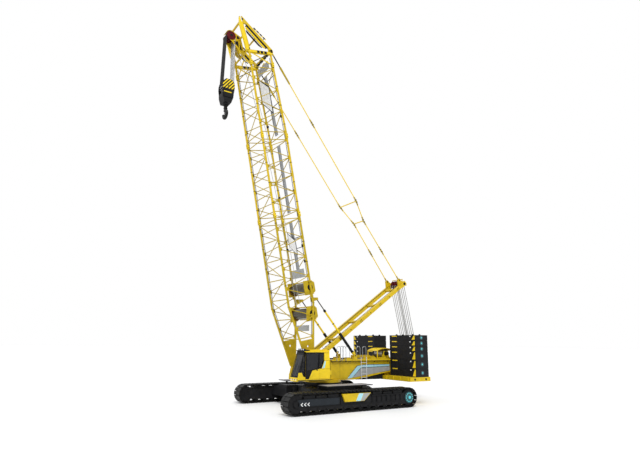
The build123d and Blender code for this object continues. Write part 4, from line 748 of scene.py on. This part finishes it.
def build_cab():
    """Frames, seams, stripe, roof, lamps, mirror and wipers of the cab, and the fittings inside it."""
    black, yellow, stripe, rail, lamps, seal = pieces(
        "superstructure", "cab_black", cab_frames=BLACK, cab_panels=YELLOW, cab_stripe=SKY, cab_rails=BLACK,
        cab_lamps=LAMP, cab_seals=RUBBER)
    behind = CAB_LEFT - 0.004
    for points in ([(1.68, 4.06), (1.68, 3.6), (1.73, 3.6), (1.73, 4.06)],
                   [(1.66, 3.6), (1.92, 2.98), (2.1, 2.98), (2.1, 3.1), (1.73, 3.42), (1.73, 3.6)],
                   [(2.07, 4.09), (2.16, 4.09), (2.16, 2.98), (2.07, 2.98)],
                   [(1.68, 4.16), (1.68, 4.05), (2.16, 4.07), (2.16, 4.18)]):
        black.outline(points, behind, CAB_LEFT + 0.012)
    for side, way in ((CAB_LEFT, 1), (CAB_RIGHT, -1)):
        for points in ([(3.34, 4.22), (3.34, 4.1), (nose_x(4.1), 4.1), (nose_x(4.22), 4.22)],
                       [(nose_x(4.22), 4.22), (nose_x(4.22) - 0.14, 4.22), (nose_x(2.44) - 0.12, 2.44),
                        (nose_x(2.44), 2.44)],
                       [(3.34, 4.15), (3.43, 4.15), (3.43, 2.42), (3.34, 2.42)],
                       [(3.34, 2.68), (nose_x(2.56), 2.56), (nose_x(2.44), 2.44), (3.34, 2.44)]):
            black.outline(points, *sorted((side - way * 0.004, side + way * 0.014)))
    for x0, x1, z0, z1 in ((1.44, 1.52, 2.94, 4.14), (3.18, 3.26, 2.94, 4.14), (1.44, 3.26, 2.94, 3.02),
                           (1.44, 3.26, 4.07, 4.14)):
        black.box((x0, CAB_RIGHT - 0.012, z0), (x1, CAB_RIGHT + 0.004, z1))
    # front: a frame and wipers on the slanted face, the base strip with its lamps, and the roof's visor
    slope = Vector((CAB_ROOF_FRONT[0] - CAB_NOSE[0], 0, CAB_ROOF_FRONT[1] - CAB_NOSE[1])).normalized()
    face = with_axes((CAB_NOSE[0], 0, CAB_NOSE[1]), slope, (0, 1, 0), Vector((slope.z, 0, -slope.x)))
    for low, high, y0, y1 in (
            (0.14, 2.04, CAB_RIGHT, CAB_RIGHT + 0.075), (0.14, 2.04, CAB_LEFT - 0.075, CAB_LEFT),
            (0.08, 0.16, CAB_RIGHT, CAB_LEFT), (1.8, 2.04, CAB_RIGHT, CAB_LEFT)):
        black.box((low, y0, -0.004), (high, y1, 0.014), face)
    for y in (1.95, 2.45):
        rail.bar((0.17, y, 0.045), (1.05, y + 0.12, 0.03), 0.011, sides=8, place=face)
        rail.bar((0.17, y, -0.01), (0.17, y, 0.06), 0.03, sides=12, place=face)
        seal.box((0.55, y + 0.1, 0.012), (1.42, y + 0.12, 0.022), face)
    yellow.box((CAB_NOSE[0] - 0.16, CAB_RIGHT + 0.03, 2.1), (CAB_NOSE[0], CAB_LEFT - 0.03, 2.2))
    for y in (1.86, 2.2, 2.54):
        lamps.bar((CAB_NOSE[0] - 0.02, y, 2.225), (CAB_NOSE[0] + 0.02, y, 2.225), 0.045, 0.05, sides=20)
    visor = [(3.56, 4.255), (3.5, 4.33), (3.05, 4.375), (2.94, 4.315), (3.4, 4.275)]
    black.outline(visor, CAB_RIGHT - 0.02, CAB_LEFT + 0.02)
    yellow.outline([(2.94, 4.29), (2.86, 4.355), (1.3, 4.37), (1.22, 4.305)], CAB_RIGHT + 0.04,
                   CAB_LEFT - 0.04)
    for i in range(4):
        x = 1.5 + i * 0.35
        yellow.box((x - 0.03, CAB_RIGHT + 0.09, 4.36), (x + 0.03, CAB_LEFT - 0.09, 4.385))
    for y in (1.8, 2.06, 2.34, 2.6):
        rail.box((3.3, y - 0.055, 4.33), (3.44, y + 0.055, 4.45))
        lamps.box((3.438, y - 0.045, 4.345), (3.446, y + 0.045, 4.435))
    # side: lower panel and its seams, the stripe behind the glass, sill, handle and mirror
    for xa, za, xb, zb in ((1.14, 2.965, 1.88, 2.955), (1.14, 3.575, 1.66, 3.585), (1.14, 2.27, 2.12, 2.27)):
        seal.outline([(xa, za - 0.008), (xb, zb - 0.008), (xb, zb + 0.008), (xa, za + 0.008)], behind,
                     CAB_LEFT + 0.003)
    yellow.outline([(1.16, 2.3), (2.1, 2.3), (2.1, 2.93), (1.16, 2.93)], behind, CAB_LEFT + 0.004)
    stripe.outline([(1.63, 3.55), (1.54, 3.53), (1.62, 3.06), (1.86, 2.99)], behind, CAB_LEFT + 0.008)
    seal.box((1.15, behind, 2.14), (3.98, CAB_LEFT + 0.006, 2.19))
    wedge = [(3.92, 2.72), (3.66, 2.72), (3.5, 2.42), (3.46, 2.2), (3.98, 2.2), (3.99, 2.4)]
    yellow.outline(wedge, CAB_LEFT - 0.002, CAB_LEFT + 0.024)
    rail.pipe([(3.52, CAB_LEFT, 2.75), (3.52, CAB_LEFT + 0.09, 2.8), (3.52, CAB_LEFT + 0.09, 3.75),
               (3.5, CAB_LEFT, 3.8)], 0.017)
    mirror_y = CAB_LEFT + 0.24
    rail.pipe([(3.45, CAB_LEFT, 4.05), (3.58, mirror_y - 0.02, 4.02), (3.6, mirror_y, 3.55)], 0.014, sides=8)
    rail.box((3.575, mirror_y - 0.09, 3.5), (3.625, mirror_y + 0.09, 3.86))
    lamps.box((3.57, mirror_y - 0.075, 3.52), (3.576, mirror_y + 0.075, 3.84))
    rail.box((CAB_REAR - 0.004, 1.8, 3.04), (CAB_REAR + 0.004, 2.6, 3.1))
    for y in (1.9, 2.5):
        rail.box((CAB_REAR - 0.03, y - 0.14, 2.45), (CAB_REAR + 0.004, y + 0.14, 2.85))
    # inside: armrests and levers beside the seat, and the console with its screen
    for y in (1.86, 2.52):
        rail.box((1.98, y - 0.07, 2.2), (2.52, y + 0.07, 2.84))
        rail.bar((2.42, y, 2.84), (2.46, y, 3.05), 0.015, sides=8)
        rail.ball((2.46, y, 3.07), 0.035)
    rail.box((3.42, 1.8, 2.22), (3.62, 2.3, 2.86))
    lamps.box((3.41, 1.9, 2.62), (3.42, 2.2, 2.82))
    for piece, bevel in ((black, 0.004), (yellow, 0.006), (stripe, 0), (rail, 0.003), (lamps, 0), (seal, 0)):
        piece.done(bevel)


def build_door():
    """Yellow lower panel, black frame, handle and lock, riding on the sliding door."""
    yellow, black = pieces("cab_door", "cab_black", door_panel=YELLOW, door_frame=BLACK)
    y0, y1 = DOOR_FACE - 0.004, DOOR_FACE + 0.012
    yellow.outline([(2.16, 2.26), (3.06, 2.26), (2.76, 2.86), (2.16, 2.965)], y0, y1)
    black.outline([(3.06, 2.26), (3.32, 2.26), (3.32, 2.8), (2.76, 2.86)], y0, y0 + 0.008)
    rim = ((2.16, 4.18), (3.32, 4.18), (3.32, 2.78), (2.76, 2.87), (2.16, 2.975))
    hole = ((2.24, 4.1), (3.24, 4.1), (3.24, 2.84), (2.8, 2.94), (2.24, 3.03))
    for a, b, c, d in zip(rim, rim[1:] + rim[:1], hole[1:] + hole[:1], hole):
        black.outline([a, b, c, d], y0, y1)
    black.box((2.2, y1, 3.02), (2.24, y1 + 0.05, 3.4))
    black.box((2.28, y1, 2.86), (2.42, y1 + 0.02, 2.93))
    yellow.done(0.005)
    black.done(0.003)


build_cab()
build_door()


# ---- engine housing
def build_housing():
    """Doors, louvres, exhaust and roof grilles of the engine housing."""
    low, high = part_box("engine_housing")
    yellow, black, grille = pieces("superstructure", "yellow_paint", housing_doors=YELLOW, housing_trim=BLACK,
                                   housing_grilles=TREAD)
    (rear, side, base), (front, _, top) = low, high
    for i in range(4):
        x = rear + 0.1 + i * 0.99
        yellow.box((x, side - 0.014, base + 0.08), (x + 0.93, side + 0.002, base + 0.48))
        black.box((x + 0.42, side - 0.03, base + 0.26), (x + 0.52, side - 0.012, base + 0.3))
        for z in (base + 0.14, base + 0.42):
            black.bar((x + 0.02, side - 0.014, z - 0.03), (x + 0.02, side - 0.014, z + 0.03), 0.012, sides=8)
    for i in range(9):
        x = rear + 0.3 + i * 0.42
        black.box((x - 0.03, side - 0.012, base + 0.54), (x + 0.03, side, base + 1.08))
    yellow.box((rear + 0.3, side - 0.016, base + 1.1), (front - 0.3, side + 0.002, base + 1.24))
    for x0, x1 in ((rear + 0.3, rear + 1.7), (rear + 2.2, front - 0.35)):
        black.box((x0, side + 0.2, top), (x1, -1.35, top + 0.02))
        count = int((x1 - x0) / 0.09)
        for i in range(count):
            x = x0 + 0.05 + i * (x1 - x0 - 0.1) / (count - 1)
            grille.box((x - 0.018, side + 0.24, top + 0.015), (x + 0.018, -1.39, top + 0.035))
    x, y = rear + 1.95, -2.1
    black.bar((x, y, top), (x, y, top + 0.42), 0.1, sides=24)
    black.pipe([(x, y, top + 0.4), (x, y, top + 0.55), (x - 0.16, y, top + 0.66)], 0.075, sides=18)
    for x, way in ((rear, -1), (front, 1)):
        yellow.box((x - way * 0.002, side + 0.12, base + 0.15), (x + way * 0.014, -1.2, top - 0.15))
        for z in (0.3, 0.45, 0.6, 0.75, 0.9):
            black.box((x + way * 0.012, side + 0.3, base + z), (x + way * 0.022, -1.4, base + z + 0.05))
    for piece in (yellow, black, grille):
        piece.done(0.004 if piece is yellow else 0)


build_housing()


# ---- boom
# in its own frame: X off its front face, Y to its left, Z along it from the foot pins
BOOM = Matrix.Translation((2.0, 0, 2.7)) @ Matrix.Rotation(radians(11.5), 4, "Y")
HALF_Y, TOP_HALF = 1.44, 1.135
CHORD = 0.088
JOINTS_U = (12.5, 19.2, 25.5)
FOOT_TAPER, HEAD_TAPER = (0.35, 5.2), (19.6, 26.5)      # where its depth changes
SIGNS = ([(-0.86, 25.13), (0.5, 23.87), (0.39, 21.74), (-0.94, 23.02)],
         [(-0.48, 11.18), (0.57, 10.4), (0.56, 9.3), (-0.4, 10.05)])


def half_depth(u, face=1):
    """Distance of a chord from the boom's middle line at u along the boom."""
    start, end = FOOT_TAPER
    depth = 0.2 + min(max((u - start) / (end - start), 0), 1) * (TOP_HALF - 0.2)
    start, end = HEAD_TAPER
    if face < 0 and u > start:
        depth -= (TOP_HALF - 0.85) * (u - start) / (end - start)
    return depth


def chord_point(face, side, u):
    return Vector((face * half_depth(u, face), side * HALF_Y, u))


def build_boom():
    """Pins and lugs of the chords' joints, collars at the nodes, signs, slabs, ropes, cables and boxes."""
    black, yellow, white, grey, rope, slate = pieces(
        "boom", "yellow_paint", BOOM, boom_pins=BLACK, boom_gussets=YELLOW, boom_signs=SIGN, boom_slabs=GREY,
        boom_ropes=ROPE, sign_frames=SLATE)
    for u in JOINTS_U:
        for face in (-1, 1):
            for side in (-1, 1):
                p = chord_point(face, side, u)
                for du in (-0.11, 0.11):
                    black.across(chord_point(face, side, u + du), 0.14, 0.035, sides=14)
                for y in (p.y - 0.118, p.y + 0.118):
                    yellow.box((p.x - 0.085, y - 0.012, u - 0.21), (p.x + 0.085, y + 0.012, u + 0.21))
                black.ring((p.x, p.y, u - 0.008), (0, 0, 1), CHORD + 0.018, CHORD + 0.03, 0.016, sides=24)
    for i in range(13):
        for side in (-1, 1):
            for face in (1, -1):
                p = chord_point(face, side, 5.2 + i * 1.67)
                black.bar((p.x, p.y, p.z - 0.02), (p.x, p.y, p.z + 0.02), CHORD + 0.012, sides=20)

    def on_back(piece, points, out, thick):
        """A flat plate off the boom's back face, from points in Y and u."""
        corners = [(-half_depth(u, -1) + 0.06 - out - lift, y, u) for lift in (0, thick) for y, u in points]
        piece.shape(corners, prism_faces(len(points)))

    def grow(points, by):
        cy, cu = (sum(p[k] for p in points) / len(points) for k in (0, 1))
        return [(cy + (y - cy) * by, cu + (u - cu) * by) for y, u in points]

    for sign in SIGNS:
        on_back(slate, grow(sign, 1.11), -0.2, 0.03)
        on_back(white, sign, -0.212, 0.012)
        on_back(white, sign, -0.17, 0.012)
        heights = [u for _, u in sign]
        for u in (min(heights) + 0.5, max(heights) - 0.5):
            black.pin(-half_depth(u, -1) + 0.03, u, -HALF_Y, HALF_Y, 0.03, sides=10)
    for u0, u1 in ((7.35, 8.05), (3.05, 3.5), (25.45, 26.1)):
        points = [(-1.0, u0), (1.0, u0), (1.0, u1), (-1.0, u1)]
        on_back(grey, points, -0.1, 0.05)
        on_back(black, grow(points, 0.93), -0.05, 0.012)
    for y in (-0.9, -0.3, 0.3, 0.9):
        black.box((-0.93, y - 0.22, 26.6), (-0.74, y + 0.22, 26.84))
    for y in (-0.3, 0.3):
        rope.chain([(v, y, u) for u, v in ((5.1, -0.55), (9.0, -0.45), (14.0, -0.3), (20.0, 0.1),
                                           (24.5, 0.62), (27.95, 1.62))], 0.02)
    for face, side in ((-1, 1), (1, -1)):
        for dy, r in ((0.1, 0.014), (0.15, 0.01)):
            black.pipe([chord_point(face, side, u) + Vector((-face * 0.1, -side * dy, 0))
                        for u in (2.6, 5.2, 8.0, 12.2, 16.0, 19.6, 23.0, 26.2)], r, sides=8)
    for side in (-1, 1):
        for u, r in ((1.35, 0.2), (0.75, 0.13)):
            black.ring((0, side * (HALF_Y + 0.086), u), (0, side, 0), r * 0.45, r, 0.012, sides=36)
    for u in (8.6, 9.9, 14.5, 21.0):
        for side in (-1, 1):
            p = chord_point(-1, side, u)
            y = p.y - side * 0.16
            black.box((p.x - 0.02, y - 0.07, u - 0.1), (p.x + 0.12, y + 0.07, u + 0.1))
    for piece, bevel in ((black, 0), (yellow, 0.004), (white, 0), (grey, 0.006), (rope, 0), (slate, 0)):
        piece.done(bevel)


build_boom()


# ---- hoist winches
def build_winches():
    """Wound rope, brakes, bands, ribs and bolts of the two winches on the boom's back."""
    rope, black, red, yellow = pieces("boom", "yellow_paint", BOOM, winch_rope=ROD, winch_gear=BLACK,
                                      winch_bands=RED, winch_ribs=YELLOW)
    outer = HALF_Y - CHORD - 0.0003
    reach = outer - 0.15
    turns = 44
    for u in (6.45, 4.4):
        v = -half_depth(u, -1) + 0.02
        for i in range(turns):
            y = -reach + (i + 0.5) * 2 * reach / turns
            rope.ring((v, y - 0.027, u), (0, 1, 0), 0.395, 0.428, 0.054, sides=36)
        for side in (-1, 1):
            y = side * outer
            black.pin(v, u, y, y + side * 0.035, 0.24, 0.23, sides=32)
            red.ring((v, side * reach, u), (0, side, 0), 0.45, 0.515, 0.012, sides=48)
            black.bolts(around(v, u, 0.2, 12), y + side * 0.02, y + side * 0.055, 0.016)
            for du in (-0.42, 0.42):
                yellow.box((v - 0.42, y - side * 0.06, u + du - 0.02),
                           (v - 0.36, y - side * 0.005, u + du + 0.02))
        for du, dv, r in ((-0.52, -0.3, 0.045), (0.5, -0.28, 0.045), (0, -0.4, 0.05)):
            yellow.pin(v + dv, u + du, -outer + 0.05, outer - 0.05, r)
    for piece in (rope, black, red, yellow):
        piece.done()


build_winches()


# ---- boom head
HEAD_SHEAVE = (28.37, 2.04)
SHEAVE_Y = (-0.27, -0.09, 0.09, 0.27)


def build_sheave_guard(yellow, u, v):
    """Curved cover over the top of the head's sheaves, from 44 to 135 degrees."""
    half = 0.38
    last = None
    for i in range(13):
        angle = radians(44 + i * 91 / 12)
        point = [(v + r * cos(angle), u + r * sin(angle)) for r in (0.455, 0.475)]
        if last:
            corners = []
            for (va, ua), (vb, ub) in zip(last, point):
                corners += [(va, -half, ua), (vb, -half, ub), (vb, half, ub), (va, half, ua)]
            yellow.shape(corners, prism_faces(4))
        last = point


def build_head():
    """Guard, sheave rims and hubs, pin heads, holes painted dark as shade, strips of painted shade under the
    rear legs, leg plates and guard bars of the boom's head.
    """
    black, yellow, red, rope, pale = pieces("boom", "yellow_paint", BOOM, head_trim=BLACK, head_guards=YELLOW,
                                            sheave_rims=RED, sheave_ropes=ROPE, tip_posts=PALE)
    u, v = HEAD_SHEAVE
    for y in SHEAVE_Y:
        for side in (-1, 1):
            red.ring((v, y + side * 0.03, u), (0, side, 0), 0.27, 0.352, 0.01, sides=48)
            black.ring((v, y + side * 0.033, u), (0, side, 0), 0.075, 0.115, 0.01)
    for side in (-1, 1):
        y = side * 0.445
        red.pin(v + 0.02, u - 0.05, y - side * 0.004, y + side * 0.05, 0.4, 0.37, sides=48)
        black.pin(v + 0.02, u - 0.05, y + side * 0.048, y + side * 0.075, 0.12, 0.1, sides=28)
        # black shapes drawn as openings in the head's nose plates: their dark is painted shade
        for hole in ([(1.25, 27.0), (1.46, 27.14), (1.36, 27.72)], [(1.54, 27.26), (1.92, 27.8), (1.5, 27.86)],
                     [(1.34, 28.1), (1.6, 28.06), (1.55, 28.36), (1.38, 28.3)]):
            black.outline(hole, y - side * 0.002, y + side * 0.006)
        black.pin(1.79, 27.6, y, y + side * 0.012, 0.085, sides=24)
    build_sheave_guard(yellow, u, v)
    for side in (-1, 1):
        y = side * HALF_Y
        for pin_u, pin_v, r in ((29.3, 1.39, 0.091), (26.74, -0.79, 0.07), (26.72, 1.165, 0.084),
                                (28.0, 1.36, 0.07)):
            black.pin(pin_v, pin_u, y + side * 0.078, y + side * 0.1, r, sides=24)
        yellow.outline([(-1.0, 26.45), (1.18, 26.45), (1.2, 26.58), (-1.02, 26.58)], y + side * 0.078,
                       y + side * 0.088)
        # strips on the underside of the rear legs, the black ones painted shade on the leg's underside and the
        # yellow one its flange: where they start and stop, and how far short of the ends
        foot, tip = Vector((-0.66, y, 26.97)), Vector((1.08, y, 28.92))
        slope = (tip - foot).normalized()
        under = Vector((slope.z, 0, -slope.x))
        for piece, start, stop, short in ((black, -0.02, 0.17, 0.02), (yellow, 0.17, 0.3, 0.06),
                                          (black, 0.42, 0.52, 0.14)):
            points = [foot.lerp(tip, share) + under * out for share, out in (
                (short, start), (1 - short, start), (1 - short * 1.5, stop), (short * 2, stop))]
            piece.outline([(p.x, p.z) for p in points], y - 0.05, y + 0.05)
        leg = [(1.16, 26.62), (1.4, 26.62), (1.68, 28.9), (1.61, 29.46), (1.42, 29.2)]
        yellow.outline(leg, y - 0.11, y + 0.11)
        black.box((-1.03, y - 0.1, 26.58), (-0.86, y + 0.1, 26.86))
        # banded guard bar outside the rear leg, on two brackets
        bar_a, bar_b = Vector((0.4, y, 28.72)), Vector((-0.62, y, 27.74))
        yellow.bar(bar_a, bar_b, 0.045, sides=14)
        for share in (0.02, 0.27, 0.52, 0.77):
            black.bar(bar_a.lerp(bar_b, share), bar_a.lerp(bar_b, share + 0.14), 0.052, sides=14)
        for share in (0.12, 0.88):
            near = bar_a.lerp(bar_b, share)
            black.bar(near, near + Vector((0.17, 0, -0.15)), 0.03, sides=10)
        pale.bar((1.44, y + side * 0.09, 29.05), (1.53, y + side * 0.09, 29.54), 0.04, sides=12)
        # boxes and short bars where the head meets the top of the boom
        for v0, v1 in ((0.24, 0.46), (-0.1, 0.12), (-0.44, -0.22)):
            black.box((v0, y - 0.13, 26.4), (v1, y + 0.13, 26.6))
        for v0, v1 in ((-0.72, -0.52), (0.62, 0.84)):
            yellow.box((v0, y - 0.12, 26.42), (v1, y + 0.12, 26.58))
        yellow.bar((-0.6, y, 25.62), (0.85, y, 26.38), 0.05, sides=14)
        black.bar((0.9, y, 25.62), (-0.55, y, 26.38), 0.035, sides=12)
    for v0, v1 in ((-0.86, -0.86), (1.00, 1.05)):
        for y in (-1.36, 1.36):
            yellow.bar((v0, y, 25.66), (v1, 0, 26.34), 0.045, sides=12)
    for y in (-0.22, 0.22):
        rope.pipe([(1.62, y, 27.95), (1.8, y, 28.66), (1.98, y, 28.73)], 0.02, sides=8)
    pale.done()
    for piece in (black, yellow, red, rope):
        piece.done(0.003 if piece is yellow else 0)


build_head()


# ---- hook block and hook
BLOCK_AXLE_Z = 25.38
HOOK_Z = 23.0


def clip(points, convex):
    """The part of an outline inside a convex one; both run the same way round or not."""
    edges = list(zip(convex, convex[1:] + convex[:1]))
    turn = 1 if sum(ax * bz - bx * az for (ax, az), (bx, bz) in edges) > 0 else -1
    for (ax, az), (bx, bz) in edges:
        def inside(point):
            return turn * ((bx - ax) * (point[1] - az) - (bz - az) * (point[0] - ax))

        kept = []
        for start, end in zip(points, points[1:] + points[:1]):
            here, there = inside(start), inside(end)
            if here >= 0:
                kept.append(start)
            if here * there < 0:
                share = here / (here - there)
                kept.append(tuple(p + (q - p) * share for p, q in zip(start, end)))
        points = kept
    return points


def build_block():
    """Stripes, cheek bolts, sheave rims, ropes and the collar of the hook block."""
    low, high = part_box("hook_block")
    x, axle = (low[0] + high[0]) / 2, BLOCK_AXLE_Z
    yellow, black, red, rope = pieces("hook_block", "block_black", block_stripes=YELLOW, block_trim=BLACK,
                                      block_sheaves=RED, block_ropes=ROPE)
    cheek = [(-0.51, 25.1), (0.51, 25.1), (0.51, 25.5), (0.43, 25.73), (0.245, 25.94), (-0.245, 25.94),
             (-0.43, 25.73), (-0.51, 25.5)]
    width, lean, foot, top = 0.125, 0.66, 25.1, 25.95
    for side in (-1, 1):
        y = side * 0.5
        yellow.outline([(x + px, pz) for px, pz in cheek], y - side * 0.002, y + side * 0.004)
        for i in range(-2, 5):
            start = 0.42 - i * 2 * width
            stripe = clip([(start, foot), (start - lean, top), (start - lean - width, top),
                           (start - width, foot)], cheek)
            if len(stripe) > 2:
                black.outline([(x + px, pz) for px, pz in stripe], y + side * 0.002, y + side * 0.008)
        black.pin(x, axle - 0.05, y, y + side * 0.03, 0.07, 0.06, sides=28)
        yellow.box((x - 0.26, y - side * 0.002, 24.74), (x + 0.38, y + side * 0.006, 24.82))
        black.bolts([(bx, bz) for bx in (x - 0.34, x + 0.34) for bz in (24.46, 24.98)], y - side * 0.005,
                    y + side * 0.02, 0.03)
    for y in SHEAVE_Y:
        for side in (-1, 1):
            red.ring((x, y + side * 0.041, axle), (0, side, 0), 0.33, 0.425, 0.006, sides=48)
    for bx in (x - 0.46, x + 0.46):
        for dz in (0.3, -0.18):
            black.pin(bx, axle + dz, -0.5, 0.5, 0.03, sides=12)
    angles = [radians(180 + i * 180 / 16) for i in range(17)]
    for y in SHEAVE_Y:
        rope.chain([(x + 0.4506 * cos(t), y, axle + 0.4506 * sin(t)) for t in angles], 0.02)
    black.bar((x, 0, 23.82), (x, 0, 23.91), 0.2, 0.26, sides=32)
    for piece in (yellow, black, red, rope):
        piece.done()


def build_falls():
    """More falls of hoist rope beside the first ones: dark in front, bright behind."""
    front, rear = pieces("hook_block", "rope_steel", falls_front=FALLS, falls_rear=ROPE)
    top = BOOM @ Vector((HEAD_SHEAVE[1], 0, HEAD_SHEAVE[0]))
    z = top.z - 0.05
    for y in (-0.36, -0.18, 0.0, 0.18, 0.36):
        front.bar((top.x + 0.37, y, z), (top.x + 0.45, y, 25.4), 0.036, sides=10)
        rear.bar((top.x - 0.35, y + 0.05, z), (top.x - 0.43, y + 0.05, 25.4), 0.05, sides=10)
    front.done()
    rear.done()


def build_hook():
    """Safety latch, nut and collar of the hook."""
    low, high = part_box("hook")
    x, z = (low[0] + high[0]) / 2, HOOK_Z
    black = Piece("hook_latch", "hook", BLACK, "hook_steel")
    black.bar((x, 0.02, z + 0.33), (x, -0.32, z + 0.02), 0.024, sides=10)
    black.bar((x - 0.13, 0.02, z + 0.33), (x + 0.13, 0.02, z + 0.33), 0.03, sides=14)
    black.bar((x, 0, z + 0.7), (x, 0, z + 0.8), 0.17, sides=6)
    black.bar((x, 0, z + 0.46), (x, 0, z + 0.54), 0.15, 0.17, sides=28)
    black.done(0.004)


build_block()
build_falls()
build_hook()


# ---- mast
# in its own frame: Z along it from its foot pins
MAST = Matrix.Translation((1.2, 0, 3.68)) @ Matrix.Rotation(radians(-55), 4, "Y")
MAST_LENGTH = 11.47
MAST_Y = 0.85


def build_mast():
    """Pins, marks, sheave rims, tackle bars and hoses of the mast."""
    black, yellow, red = pieces("mast", "yellow_paint", MAST, mast_trim=BLACK, mast_plates=YELLOW_SHADED,
                                mast_sheave_rims=RED)
    half, width = 0.15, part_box("mast")[1][1] - MAST_Y
    for side in (-1, 1):
        y = side * (MAST_Y + width)
        black.pin(0, 0, y, y + side * 0.03, 0.12, 0.11, sides=28)
        low_y, high_y = sorted((y - side * 0.002, y + side * 0.01))
        for u in (2.72, 5.33, 7.93, 10.54):
            for u0, u1 in ((u - 0.1, u - 0.055), (u + 0.055, u + 0.1)):
                black.box((0.03 - half, low_y, u0), (half - 0.03, high_y, u1))
            yellow.box((0.01 - half, low_y, u - 0.2), (half - 0.01, y + side * 0.006, u + 0.2))
        for u in (1.2, 4.0, 6.6, 9.2):
            black.pin(0, u, y - side * 0.01, y + side * 0.008, 0.05, sides=20)
        black.pin(0.56, MAST_LENGTH - 0.26, side * MAST_Y - 0.13, side * MAST_Y + 0.13, 0.055, sides=20)
        black.pin(0, MAST_LENGTH, y, y + side * 0.025, 0.13, 0.12, sides=28)
    for y in (-0.48, -0.24, 0.0, 0.24, 0.48):
        for side in (-1, 1):
            for piece, inner, outer, sides in ((red, 0.26, 0.345, 48), (black, 0.145, 0.175, 32)):
                piece.ring((0, y + side * 0.046, MAST_LENGTH), (0, side, 0), inner, outer, 0.008, sides)
    for v, du in ((0.34, 0.3), (-0.36, 0.4)):
        u = MAST_LENGTH + du
        yellow.pin(v, u, -0.7, 0.7, 0.035, sides=12)
        for y in (-0.7, 0.7):
            yellow.bar((v, y, u), (v * 0.4, y, MAST_LENGTH + 0.1), 0.03, sides=10)
    for side in (-1, 1):
        y = side * (MAST_Y - width - 0.03)
        black.pipe([(0.17, y, u) for u in (0.5, 3.0, 6.0, 9.0, 10.9)], 0.018, sides=8)
    for piece in (black, yellow, red):
        piece.done(0.003 if piece is yellow else 0)


build_mast()


# ---- pendants and backstops
def build_pendants():
    """Pendant bars from the boom head to the mast, drawn together between two cross bars."""
    bars, black, dark = pieces("pendants", "yellow_paint", pendant_bars=YELLOW, pendant_pins=BLACK,
                               pendant_links=YELLOW_DEEP_SHADED)
    head = BOOM @ Vector((-0.95, HALF_Y, 26.73))
    tip = MAST @ Vector((0.56, MAST_Y, MAST_LENGTH - 0.26))

    def at(share, y):
        p = head.lerp(tip, share)
        return Vector((p.x, y, p.z))

    # share of the length from the head, and distance from the middle
    stations = ((0.0, HALF_Y), (0.3, 1.36), (0.638, 1.27), (0.722, 0.74), (0.86, 0.79), (1.0, MAST_Y))
    for side in (-1, 1):
        points = [at(share, side * y) for share, y in stations]
        ends = (points[0], points[-1])
        for a, b in zip(points, points[1:]):
            along = (b - a).normalized()
            bars.bar(a + along * 0.1, b - along * 0.1, 0.043, sides=12)
            for p, way in ((a, 1), (b, -1)):
                dark.bar(p + along * (way * 0.05), p + along * (way * 0.42), 0.062, sides=12)
                if p not in ends:
                    black.across(p + along * (way * 0.12), 0.1, 0.04, sides=14)
        for p in points[1:-1]:
            dark.ball(p, 0.075)
        a, along = points[0], (points[1] - points[0]).normalized()
        black.bar(a + along * 0.1, a + along * 1.55, 0.05, sides=12)
        dark.bar(a + along * 1.5, a + along * 3.1, 0.088, 0.075, sides=12)
        for p in ends:
            bars.across(p, 0.028, 0.118, sides=28)
            black.across(p, 0.1, 0.05, sides=20)
    for share, y in stations[2:4]:
        bars.bar(at(share, -y), at(share, y), 0.05, sides=14)
    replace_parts(bars.done(), "pendants")
    black.done()
    dark.done()


def build_backstops():
    """Collars of the tubes, springs' stops and pins of the boom's backstops."""
    tubes, = pieces("backstop_tubes", "yellow_paint", backstop_collars=BLACK)
    rods, = pieces("backstop_rods", "dark_rod", backstop_pins=BLACK)
    foot = Vector((-2.3, 1.2, 3.87))
    end = BOOM @ Vector((-1.64, 1.2, 5.45))
    along = (end - foot).normalized()
    for side in (-1, 1):
        a, b = (Vector((p.x, side * p.y, p.z)) for p in (foot, end))
        # where each ring starts and stops along the tube, its inner and its outer radius
        for start, stop, inner, outer in ((0.36, 0.42, 0.087, 0.122), (2.2, 2.3, 0.087, 0.122),
                                          (2.3, 2.36, 0.07, 0.105), (3.3, 3.36, 0.057, 0.092),
                                          (4.55, 4.72, 0.069, 0.104), (0.42, 2.2, 0.09, 0.114)):
            tubes.ring(a + along * start, along, inner, outer, stop - start, sides=28)
        rods.across(b, 0.075, 0.05, sides=20)
        tubes.across(a, 0.125, 0.05, sides=20)
    tubes.done()
    rods.done()


build_pendants()
build_backstops()
